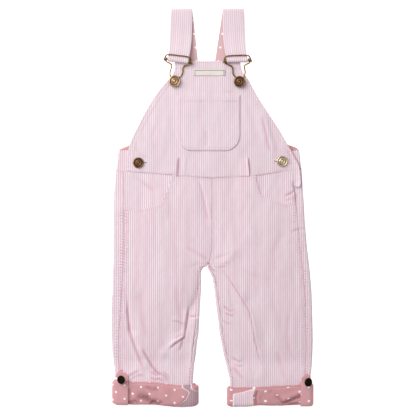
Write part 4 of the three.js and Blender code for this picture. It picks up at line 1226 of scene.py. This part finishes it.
# %% Tables of the cuffs
CUFF_LEFT_EDGES = [
    (-150, -259.5, -293.5), (-132, -261, -294), (-112, -262.5, -294.5), (-82.5, -263.5, -295),
    (-60, -266, -297), (-45, -268, -298.4), (-28, -265, -297.4), (-19.5, -264.5, -295),
]
CUFF_RIGHT_EDGES = [
    (21.8, -267.5, -296), (31.5, -271.5, -298.2), (57, -270.5, -297.4), (69, -270, -295),
    (94.5, -268.5, -296), (132, -267, -294.8), (151.5, -266, -293.6),
]
CUFFS = {
    "left": {"outer": -145.8, "inner": -28.2, "inner_wall": 8.7, "edges": CUFF_LEFT_EDGES,
             "print": (12.05, 6.1)},
    "right": {"outer": 147.3, "inner": 26.2, "inner_wall": 4.4, "edges": CUFF_RIGHT_EDGES,
              "print": (0, 0)},
}
CUFF_FACE = 32.0
CUFF_SKIN = 0.9
CUFF_LOW, CUFF_HIGH = CUFF_WALL, CUFF_WALL + 2 * SEAM_GAP + LEG_HEIGHT
# How deep in the roll a point lies, whether it hangs from the top (1) or the bottom (0), and how far
CUFF_SECTION = [
    (0.0, 0, 14), (0.0, 0, 6), (0.0, 0, 2.2), (0.12, 0, 0.9), (0.4, 0, 0), (0.7, 0, 0.35),
    (0.9, 0, 1.5), (1.0, 0, 3.4), (1.0, 0, 9), (1.0, 1, 9), (1.0, 1, 3.4), (0.94, 1, 1.6),
    (0.8, 1, 0.7), (0.58, 1, 0.5), (0.48, 1, 1.1), (0.46, 1, -0.6), (0.42, 1, -1.7), (0.2, 1, -2.1),
    (0.06, 1, -1.4), (0.04, 1, 2),
]
CUFF_DENTS = [
    ([(-104, -281), (-96, -284), (-92, -291)], 3.4, -1.5, 0.5),
    ([(-124, -290), (-116, -288), (-108, -292)], 2.6, -1.3, 0.6),
    ([(-92, -291), (-82, -288), (-72, -292)], 2.6, -1.4, 0.6),
    ([(-78, -270), (-70, -276), (-66, -288)], 4.5, 1.0, 0.5),
    ([(-124, -268), (-122, -280), (-124, -292)], 3.0, -1.2, -0.5),
    ([(-100, -266), (-90, -272), (-78, -270)], 3.0, -0.9, 0.5),
    ([(-114, -280), (-99, -285), (-84, -291)], 6.0, -1.5, 0.3),
    ([(-131, -293), (-124, -291), (-116, -294)], 2.4, -1.8, 0.5),
    ([(-95, -294), (-86, -291), (-76, -294)], 2.4, -1.8, 0.5),
    ([(102, -293), (118, -287), (136, -279)], 2.6, -2.4, 0.9),
    ([(72, -272), (80, -269), (90, -272)], 4.0, 1.0, 0.5),
    ([(92, -278), (100, -284), (106, -293)], 3.4, -1.1, 0.5),
    ([(110, -295), (124, -292), (136, -292)], 2.2, -1.5, 0.4),
    ([(69, -271), (65, -283), (67, -297)], 2.2, -1.5, 0.4),
]

# %% Turn the corners
# A turned corner shows the striped face; it lies between two lines and under a third
TURNED_CORNERS = {
    "left": {"from": [(-268.5, -45), (-275.3, -34.5), (-285.8, -39), (-298, -54)],
             "to": [(-270, -30), (-273, -26), (-276, 0)], "top": -262.0, "step": -1.5, "corner_shade": 0.9},
    "right": {"from": [(-298, 31), (-279, 31), (-277.6, 31.8), (-275.3, 44.8), (-269.9, 64.2),
                       (-262, 92)],
              "to": [(-262, 66), (-269.9, 64.5), (-280.7, 61), (-293.1, 61.8), (-298, 61.8)],
              "top": -255.0, "step": 1.0, "corner_shade": 0.0},
}
for corner in TURNED_CORNERS.values():
    corner["start_at"], corner["end_at"] = reader(corner["from"], 1), reader(corner["to"], 1)


def turned_corner(corner):
    def inside(x, y):
        between = np.minimum(x - corner["start_at"](y), corner["end_at"](y) - x)
        return np.minimum(between, corner["top"] - y)

    return inside


def cuff_shade(corner):
    def shade(x, y):
        folds = creased(x, y, CUFF_DENTS)[1] / FOLD_DEPTH
        # Painted shade: darker in the dents, towards the bottom of the roll, and over the sunk turned
        # corner
        low = 0.45 * smooth(-289, -297, y)
        corner_shade = corner["corner_shade"] * smooth(0, 2.5, turned_corner(corner)(x, y))
        return np.clip(folds + low + corner_shade, 0, 1)

    return shade


# %% Roll the cuffs
ROUND_STEPS, FLOOR_STEPS, FACE_STEPS = 13, 31, 61


def ring_of_cuff(cuff, side):
    radius = (CUFF_HIGH - CUFF_LOW) / 2
    middle = (CUFF_HIGH + CUFF_LOW) / 2
    outer, inner = cuff["outer"] - side * radius, cuff["inner"] + side * radius
    stations = []
    for angle in np.linspace(math.pi / 2, -math.pi / 2, ROUND_STEPS):
        nx, nz = side * math.cos(angle), math.sin(angle)
        stations.append((outer + radius * nx, middle + radius * nz, nx, nz))
    for t in np.linspace(0, 1, FLOOR_STEPS)[1:-1]:
        stations.append((mix(outer, inner, t), CUFF_LOW, 0, -1))
    for angle in np.linspace(-math.pi / 2, math.pi / 2, ROUND_STEPS):
        nx, nz = -side * math.cos(angle), math.sin(angle)
        stations.append((inner + radius * nx, middle + radius * nz, nx, nz))
    for t in np.linspace(0, 1, FACE_STEPS)[1:]:
        stations.append((mix(inner, outer, t), CUFF_HIGH, 0, 1))
    return np.array(stations)


def cuff_place(cuff, side, corner):
    ring = ring_of_cuff(cuff, side)
    lengths = lengths_along(ring[:, :2])
    share = lengths / lengths[-1]
    top, bottom = reader(cuff["edges"], 1, 4), reader(cuff["edges"], 2, 4)
    parts = np.array(CUFF_SECTION, float)
    stops = np.linspace(0, 1, len(parts))
    heights = parts[:, 1] * CUFF_FACE + parts[:, 2] * np.where(parts[:, 1] > 0.5, -1, 1)
    profile = np.column_stack([parts[:, 0] * CUFF_WALL, heights])
    wrap = lengths_along(profile)
    on_face = int(np.argmax((parts[:, 0] == 1.0) & (parts[:, 1] == 1)))
    print_at = (cuff["print"][0] + ring[-1, 0] - side * lengths[-1],
                cuff["print"][1] + cuff["edges"][2][1] - 9 - wrap[on_face])

    def place(u, v):
        round_ring = u if side > 0 else 1 - u
        x, z, nx, nz = (np.interp(round_ring, share, ring[:, k]) for k in range(4))
        depth, from_top, inset = (np.interp(v, stops, parts[:, k]) for k in range(3))
        inward = np.clip(-side * nx, 0, 1)
        wall_x = mix(CUFF_WALL, cuff["inner_wall"], smooth(0, 1, inward))
        rough = 0.7 * unevenness(x, z * 3 + depth * 20, 13.0, 1.0, 4.0)
        px = x + nx * (depth * wall_x + rough * depth)
        y = mix(bottom(px) + inset, top(px) - inset, from_top)
        y = y + 0.8 * unevenness(px, z, 16.0, 1.0, 8.0)
        outside = smooth(0.6, 1, depth) * np.clip(nz, 0, 1)
        step = corner["step"] * smooth(-0.6, 0.9, turned_corner(corner)(px, y))
        relief = creased(px, y, CUFF_DENTS)[0] + step + 0.7 * unevenness(px, y, 15.0, 0.8, 6.5)
        pz = z + nz * (depth * CUFF_WALL + np.where(nz > 0, rough * depth, 0)) + relief * outside
        pz = np.maximum(pz, 0.0)
        across = side * round_ring * lengths[-1] + nx * depth * wall_x
        return px, y, pz, across + print_at[0], np.interp(v, stops, wrap) + print_at[1]

    return place


for name, cuff in CUFFS.items():
    side, corner = LEGS[name]["side"], TURNED_CORNERS[name]
    marks = {"fold": cuff_shade(corner), "turned": turned_corner(corner)}
    cuff_grid = grid_of_cloth(230, 60, cuff_place(cuff, side, corner), **marks)
    rolled = sheet_of_cloth(f"rolled_cuff_{name}", cuff_grid, CUFF_SKIN, [cuff_linings[name]], rim=0)
    dress(f"cuff_{name}", rolled)

# %% [markdown]
# ## Tabs
# A pointed tab comes up out of each leg, goes over the cuff and buttons above it, which keeps the cuff
# turned up. It lies on the rounded outer edge of the leg.

# %% Bring up the tabs
TAB_WALL = 1.4
TAB_LINE = [
    (19.2, 1.3, 0.5), (16.2, 1.2, 3.9), (12, 1.0, 7.6), (9.2, 1.1, 9.4), (5.4, 2.1, 9.4),
    (2.9, 4.1, 9.4), (0.6, 5.1, 9.4), (-3, 5.0, 9.4), (-14, 5.0, 9.4), (-24, 5.0, 9.4),
    (-28.4, 4.9, 9.4), (-30.6, 4.2, 9.4), (-32.2, 2.6, 9.4), (-32.6, 1.2, 9.4),
]
TAB_PRINT = {"left": (1.9, -6.9), "right": (3.75, -5.6)}
TABS = {"left": (7.6, -261.0, 1.045), "right": (2.4, -266.6, 0.93)}


def on_leg_end(leg, y, d, lift):
    low = climb(y)
    radius = LEG_HEIGHT / 2
    centre = leg["outer"](y) - leg["side"] * radius
    tilt = np.clip(-d, 0, None) / (radius + CUFF_WALL)
    round_edge = centre + leg["side"] * (radius + lift) * np.sin(tilt)
    x = np.where(d >= 0, centre - leg["side"] * d, round_edge)
    z = np.where(d >= 0, low + LEG_HEIGHT + lift, low + radius + (radius + lift) * np.cos(tilt))
    return x, z


def tab_place(leg, dots, middle, cuff_top, stretch):
    line = np.array(TAB_LINE)
    line[:, 0] = cuff_top + line[:, 0] * np.where(line[:, 0] < -20, stretch, 1)
    steps = lengths_along(line[:, :2])
    spread = np.array([-0.9, 0, 0.9])

    def place(u, v):
        reach = (1 - v) * steps[-1]
        y, lift = (sum(np.interp(reach + d, steps, line[:, k]) for d in spread) / 3 for k in (0, 1))
        half = np.interp(reach, steps, line[:, 2])
        outwards = (2 * u - 1) * -leg["side"]
        d = middle + half * outwards
        lift = lift + TAB_WALL - 0.3 * np.abs(outwards) ** 3 + 0.3 * unevenness(d, y, 9.0, 1.0, 6.0)
        x, z = on_leg_end(leg, y, d, lift)
        return x, y, z, half * (2 * u - 1) + dots[0], steps[-1] - reach + dots[1]

    return place


for name, row in TABS.items():
    tab_grid = grid_of_cloth(20, 70, tab_place(LEGS[name], TAB_PRINT[name], *row))
    tab = sheet_of_cloth(f"turn_up_tab_{name}", tab_grid, TAB_WALL, [lining])
    dress(f"cuff_tab_{name}", tab)

# %% [markdown]
# ## Buttons
# The buttons are stamped from brass sheet: a domed head with a rolled rim, a ring of small marks
# pressed round a dished middle, and a shank. Spinning one profile about its axis makes the whole
# button, and small beads set in a circle make the pressed ring.

# %% Stamp the buttons
BIB_BUTTONS = {"left": (-56.1, 189.2), "right": (41.25, 188.25)}
TAB_BUTTONS = {"left": (-255.8, 8.9, 7.3), "right": (-259.6, 2.2, 6.8)}
# The radius of the head, the radius of the shank and the height of the shank
BIB_BUTTON, TAB_BUTTON = (8.6, 3.2, 3.0), (6.5, 1.8, 2.2)
SIDE_BUTTON = (8.1, 1.4)
HEAD_DEPTH = 2.4
TAB_LEAN = 26.0
SPIN_STEPS = 48
BEADS = 22


def button_profile(radius, shank, height):
    """Distance from the axis, height, and how bare the metal is rubbed there."""
    return [
        (0, 0, 0), (shank, 0, 0), (shank, height, 0), (radius * 0.9, height, 0),
        (radius * 0.985, height + 0.4, 0.3), (radius, height + 0.9, 0.6),
        (radius * 0.98, height + 1.5, 0.9), (radius * 0.93, height + 1.95, 1.0),
        (radius * 0.87, height + 2.1, 1.0), (radius * 0.82, height + 1.9, 0.6),
        (radius * 0.78, height + 1.4, 0.0), (radius * 0.72, height + 1.25, 0.1),
        (radius * 0.52, height + 1.3, 0.2), (radius * 0.47, height + 1.75, 1.0),
        (radius * 0.42, height + 1.8, 1.0), (radius * 0.37, height + 1.45, 0.3),
        (radius * 0.22, height + 1.35, 0.0), (radius * 0.17, height + 1.8, 0.6),
        (radius * 0.09, height + 2.0, 0.8), (0, height + 2.05, 0.8),
    ]


def button(name, radius, shank, height, metal, place, lean=0.0):
    bm = bmesh.new()
    worn = bm.verts.layers.float.new("worn")
    profile = []
    for r, h, rubbed in button_profile(radius, shank, height):
        profile.append(bm.verts.new((r * MM, 0, h * MM)))
        profile[-1][worn] = rubbed
    edges = [bm.edges.new(pair) for pair in zip(profile, profile[1:])]
    bmesh.ops.spin(bm, geom=profile + edges, cent=(0, 0, 0), axis=(0, 0, 1), dvec=(0, 0, 0),
                   angle=2 * math.pi, steps=SPIN_STEPS, use_merge=True)
    bmesh.ops.remove_doubles(bm, verts=bm.verts, dist=1e-6)
    for k in range(BEADS):
        spot = Matrix.Rotation(k * 2 * math.pi / BEADS, 4, "Z") @ Matrix.Translation(
            (radius * 0.62 * MM, 0, (height + 1.3) * MM))
        bead = bmesh.ops.create_icosphere(bm, subdivisions=1, radius=radius * 0.055 * MM, matrix=spot)
        for vert in bead["verts"]:
            vert[worn] = 1.0
    bmesh.ops.recalc_face_normals(bm, faces=bm.faces)
    turn = Matrix.Translation([c * MM for c in place]) @ Matrix.Rotation(math.radians(lean), 4, "Y")
    bmesh.ops.transform(bm, matrix=turn, verts=bm.verts)
    obj = object_from(bm, name)
    obj.data.materials.append(metal)
    return obj


# %% Set the buttons
for name, metal in (("left", tan_brass), ("right", brown_brass)):
    x, y = BIB_BUTTONS[name]
    z = float(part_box(f"bib_button_{name}")[0][2]) / MM
    large = button(f"bib_shank_button_{name}", *BIB_BUTTON, metal, (x, y, z))
    keep(large, [f"bib_button_{name}"])
for name, metal in (("left", brown_brass), ("right", bright_brass)):
    x, y, _ = SIDE_BUTTONS[name]
    low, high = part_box(f"side_button_{name}")
    height = (high[2] - low[2]) / MM - HEAD_DEPTH
    radius, shank = SIDE_BUTTON
    foot = (x, y, low[2] / MM)
    side_button = button(f"side_shank_button_{name}", radius, shank, height, metal, foot)
    keep(side_button, [f"side_button_{name}"])
for name, (y, d, lift) in TAB_BUTTONS.items():
    leg = LEGS[name]
    x, z = on_leg_end(leg, y, d, lift)
    foot = (float(x), y, float(z))
    lean = leg["side"] * TAB_LEAN
    small = button(f"tab_shank_button_{name}", *TAB_BUTTON, dark_brass, foot, lean)
    keep(small, [f"cuff_button_{name}"])

# %% [markdown]
# ## Buckles
# Each buckle is bent from brass wire 2 mm thick. One wire runs from knob to knob round the button's
# shank, a second goes over the strap, and both are coiled round the ends of the bar that the strap
# hangs from. A curve with a round bevel is a wire; it is turned to a mesh once it has its shape.

# %% Paths of the wires
WIRE_RADIUS = 1.0
BAR_HALF = 19.0
LEFT_NECK = [
    (-70.05, 222.3, 8.4), (-69.4, 219.0, 8.2), (-66.4, 217.2, 7.8), (-62.4, 216.0, 7.3),
    (-60.4, 213.6, 6.9), (-60.6, 210.2, 6.6), (-62.2, 206.0, 6.4), (-63.2, 201.6, 6.3),
    (-62.8, 197.6, 6.3), (-61.0, 193.6, 6.3), (-60.4, 189.6, 6.3), (-59.4, 185.9, 6.3),
    (-56.1, 184.5, 6.3), (-52.8, 185.9, 6.3), (-51.4, 190.2, 6.3), (-49.4, 194.6, 6.3),
    (-46.4, 197.6, 6.3), (-44.6, 200.8, 6.4), (-43.6, 204.2, 6.5), (-44.4, 208.0, 6.8),
    (-42.9, 211.4, 7.2), (-39.6, 212.8, 7.6), (-35.6, 213.6, 8.0), (-32.7, 215.4, 8.3),
    (-32.3, 217.5, 8.4),
]
RIGHT_NECK = [
    (19.2, 219.3, 8.4), (19.8, 216.4, 8.2), (22.4, 214.8, 7.9), (26.4, 213.0, 7.4),
    (30.0, 211.8, 7.0), (30.9, 208.6, 6.6), (31.0, 204.6, 6.4), (31.2, 200.8, 6.3),
    (33.2, 197.6, 6.3), (35.8, 194.8, 6.3), (36.8, 189.8, 6.3), (37.9, 185.1, 6.3),
    (41.25, 183.6, 6.3), (44.6, 185.1, 6.3), (45.9, 189.4, 6.3), (47.4, 195.4, 6.3),
    (49.4, 199.6, 6.3), (49.9, 204.0, 6.5), (48.7, 208.6, 6.8), (48.2, 212.2, 7.2),
    (50.8, 214.4, 7.6), (54.6, 215.6, 8.0), (56.9, 217.6, 8.3), (57.2, 220.5, 8.4),
]
OVER_STRAP = [
    (-19, 0, 8.4), (-19.4, 3.4, 9.6), (-17.4, 6.8, 11.4), (-9, 7.4, 11.7), (0, 7.4, 11.7),
    (9, 7.4, 11.7), (17.2, 6.8, 11.4), (19.4, 3.4, 9.6), (19, 0, 8.4),
]
COIL = {"turns": 2.6, "radius": 2.2, "from": 16.2, "to": 21.0, "wire": 0.85, "points": 30}
BAR_WIRE = 1.1


# %% Bend the buckles
def wire(name, lines):
    data = bpy.data.curves.new(name, "CURVE")
    data.dimensions = "3D"
    data.bevel_depth = WIRE_RADIUS * MM
    data.bevel_resolution = 4
    data.resolution_u = 6
    data.use_fill_caps = True
    for points, thickness in lines:
        spline = data.splines.new("NURBS")
        spline.points.add(len(points) - 1)
        for point, place in zip(spline.points, points):
            point.co = (*[c * MM for c in place], 1)
            point.radius = thickness / WIRE_RADIUS
        spline.order_u = 3
        spline.use_endpoint_u = True
    curve = in_scene(name, data)
    shaped = curve.evaluated_get(bpy.context.evaluated_depsgraph_get())
    mesh = bpy.data.meshes.new_from_object(shaped)
    bpy.data.objects.remove(curve)
    mesh.shade_smooth()
    return in_scene(name, mesh)


for name, neck in (("left", LEFT_NECK), ("right", RIGHT_NECK)):
    ends = STRAP_ENDS[name]
    angle = math.atan(ends["tilt"])

    def at_bar(u, v, z):
        x = ends["bar"] + u * math.cos(angle) - v * math.sin(angle)
        return (x, BAR_Y + u * math.sin(angle) + v * math.cos(angle), z)

    lines = [
        (neck, WIRE_RADIUS),
        ([at_bar(*row) for row in OVER_STRAP], WIRE_RADIUS),
        ([at_bar(u, 0, BAR_Z) for u in (-BAR_HALF - 1, 0, BAR_HALF + 1)], BAR_WIRE),
    ]
    for side in (-1, 1):
        coil = []
        for k in range(COIL["points"]):
            t = k / (COIL["points"] - 1)
            a = t * COIL["turns"] * 2 * math.pi
            u = side * mix(COIL["from"], COIL["to"], t)
            coil.append(at_bar(u, COIL["radius"] * math.cos(a), BAR_Z + COIL["radius"] * math.sin(a)))
        lines.append((coil, COIL["wire"]))
    buckle = wire(f"wire_buckle_{name}", lines)
    buckle.data.materials.clear()
    buckle.data.materials.append(brass)
    keep(buckle, [f"buckle_{name}"])

# %% [markdown]
# ## Stitches
# A machine leaves a row of short loops, each about 2.6 mm of thread that dips into the cloth at both
# ends. A slim ball stretched along the row is enough for one stitch, because there are some thousands
# of them. Each row follows a line on the face, and takes its height from the cloth below.

# %% Sew the rows of stitches
STITCH_LENGTH = 2.7
STITCH_PITCH = 3.3
STITCH_RADIUS = 0.3


def along_line(line, pitch, length):
    points = np.array(line, float)
    steps = lengths_along(points)
    for start in np.arange(0, steps[-1] - length + 0.01, pitch):
        yield [[np.interp(start + d, steps, points[:, k]) for k in (0, 1)] for d in (0, length)]


def sew(name, rows, height, lift=0.05, pitch=STITCH_PITCH, length=STITCH_LENGTH, cotton=thread):
    bm = bmesh.new()
    count = 0
    for line in rows:
        pairs = list(along_line(line, pitch, length))
        if not pairs:
            continue
        flat = np.array(pairs)
        z = height(flat[:, :, 0].ravel(), flat[:, :, 1].ravel()).reshape(-1, 2) + lift
        for (start, end), (z1, z2) in zip(pairs, z):
            a, b = Vector((*start, z1)) * MM, Vector((*end, z2)) * MM
            turn = (b - a).to_track_quat("Z", "Y").to_matrix().to_4x4()
            size = Matrix.Diagonal((STITCH_RADIUS * MM, STITCH_RADIUS * MM, (b - a).length / 2, 1))
            spot = Matrix.Translation((a + b) / 2) @ turn @ size
            bmesh.ops.create_uvsphere(bm, u_segments=6, v_segments=4, radius=1, matrix=spot)
            count += 1
    obj = object_from(bm, name)
    obj.data.materials.append(cotton)
    keep(obj, [])
    print(f"{name}: {count} stitches")
    return obj


def beside(read, distance, rows):
    return [(float(read(y)) + distance, y) for y in rows]


# %% Stitch the trousers
for name, leg in LEGS.items():
    side = leg["side"]
    rows = np.arange(leg["mouth_end"] - 4, -252, -4.0)
    inner_rows = np.arange(-96, -252, -4.0)
    lines = [beside(leg["outseam"], -side * d, rows) for d in (1.6, 5.5)]
    lines += [beside(leg["inseam"], side * 1.4, inner_rows)]
    fine = np.linspace(WAIST_ROW, leg["mouth_end"], 30)
    for inset in (1.8, 4.6):
        x_at = [float(leg["mouth"](row)) for row in fine]
        y_at = [float(bend_with_waist(x, row)) for x, row in zip(x_at, fine)]
        lines.append([(x - side * inset * 0.8, y - inset * 0.6) for x, y in zip(x_at, y_at)])
    across = np.linspace(leg["inseam"](40), leg["mouth"](WAIST_ROW), 12)
    for drop in (1.8, 4.6):
        lines.append([(float(x), float(waist_at(x)) - drop) for x in across])
    sew(f"stitches_trouser_front_{name}", lines, face_height)
centre_lines = [[(2.0, 40), (2.0, -84)], [(5.4, 40), (5.4, -20)]]
fly = [
    [(-2, 6), (-1.5, -18), (2, -26), (8, -29), (14, -27)], [(-2, -22), (3, -30), (9, -33), (16, -31)],
]
sew("stitches_centre_seam", centre_lines + fly, face_height)

# %% Stitch the bib
side_rows = np.arange(216, 60, -4.0)
bib_lines = [beside(bib_left, d, side_rows) for d in (2.2, 8.6)]
bib_lines += [beside(bib_right, -d, side_rows) for d in (2.2, 8.6)]
bib_lines += [[(-54, y), (40, y)] for y in (217.6, 209.6)]
bib_lines += [[(float(x), float(waist_at(x)) + 2.2) for x in np.linspace(-126, 120, 20)]]
sew("stitches_bib", bib_lines, bib_height)
edging = []
for _, y, hole in SIDE_BUTTONS.values():
    half = BUTTONHOLE[0] / 2
    for x in np.arange(hole - half - 1.2, hole + half + 1.3, 0.7):
        for start in (y - BUTTONHOLE[1] / 2 - 1.6, y + BUTTONHOLE[1] / 2 + 0.1):
            edging.append([(x, start), (x, start + 1.5)])
sew("stitches_buttonholes", edging, bib_height, lift=0.1, pitch=1.5, length=1.5, cotton=pale_thread)


def pocket_height(x, y):
    return face_height(x, y) + PATCH_GAP + PATCH_WALL + 0.2


def pocket_line(inset):
    ups = np.concatenate([np.linspace(0, POCKET_CORNER, 14), [50, 70, POCKET_TOP - POCKET_BOTTOM]])
    right = [
        (POCKET_CENTRE + float(pocket_half(up)) - inset, POCKET_BOTTOM + max(up, inset)) for up in ups
    ]
    left = [(2 * POCKET_CENTRE - x, y) for x, y in reversed(right)]
    return left + right


pocket_lines = [pocket_line(1.8), pocket_line(5.6)]
pocket_lines += [[(POCKET_CENTRE - 46, POCKET_TOP - 9), (POCKET_CENTRE + 46, POCKET_TOP - 9)]]
sew("stitches_patch_pocket", pocket_lines, pocket_height)

# %% [markdown]
# ## Setting
# The overalls lie on a plain pale table. A large soft light from the upper left draws the folds, a
# second from above fills them, and the camera looks straight down, as the photographer's did.

# %% Set the table and the lights
TABLE_GRAIN = 2.5 * MM
TABLE_HALF, TABLE_DROP = 3.0, 0.5 * MM
WORLD_STRENGTH = 0.27


def table_finish():
    material, tree = finish("backlit opal acrylic")
    frosted = grain(tree, own_place(tree), 1 / TABLE_GRAIN)
    return surfaced(material, {
        "Base Color": colour("#fbfbfb"), "Roughness": 0.8, "Normal": bumps(tree, frosted, 0.02, 0.2 * MM),
        "Emission Color": colour("#ffffff"), "Emission Strength": 0.6})


bm = bmesh.new()
bmesh.ops.create_grid(bm, x_segments=1, y_segments=1, size=TABLE_HALF)
bmesh.ops.translate(bm, verts=bm.verts, vec=(0, 0, -TABLE_DROP))
floor = object_from(bm, "table")
floor.data.materials.append(table_finish())

LIGHTS = {
    "key from the upper left": ((-1.1, 0.9, 1.15), 1.5, 37.0),
    "fill from above": ((0.3, 0.1, 2.2), 2.4, 18.0),
}
for name, (place, size, power) in LIGHTS.items():
    data = bpy.data.lights.new(name, "AREA")
    data.size = size
    data.energy = power
    light = in_scene(name, data)
    light.location = place
    light.rotation_euler = Vector(place).to_track_quat("Z", "Y").to_euler()

world = bpy.data.worlds.new("studio")
world.use_nodes = True
world.node_tree.nodes["Background"].inputs["Color"].default_value = (1, 1, 1, 1)
world.node_tree.nodes["Background"].inputs["Strength"].default_value = WORLD_STRENGTH
bpy.context.scene.world = world
bpy.context.scene.view_settings.view_transform = "Standard"

# %% Aim the camera
FRAME_WIDTH = 624 * MM
LENS, SENSOR = 85.0, 36.0
camera_data = bpy.data.cameras.new("camera")
camera_data.lens = LENS
camera_data.sensor_width = SENSOR
camera = in_scene("camera", camera_data)
camera.location = (-6 * MM, -0.75 * MM, FRAME_WIDTH * LENS / SENSOR + 6 * MM)
bpy.context.scene.camera = camera
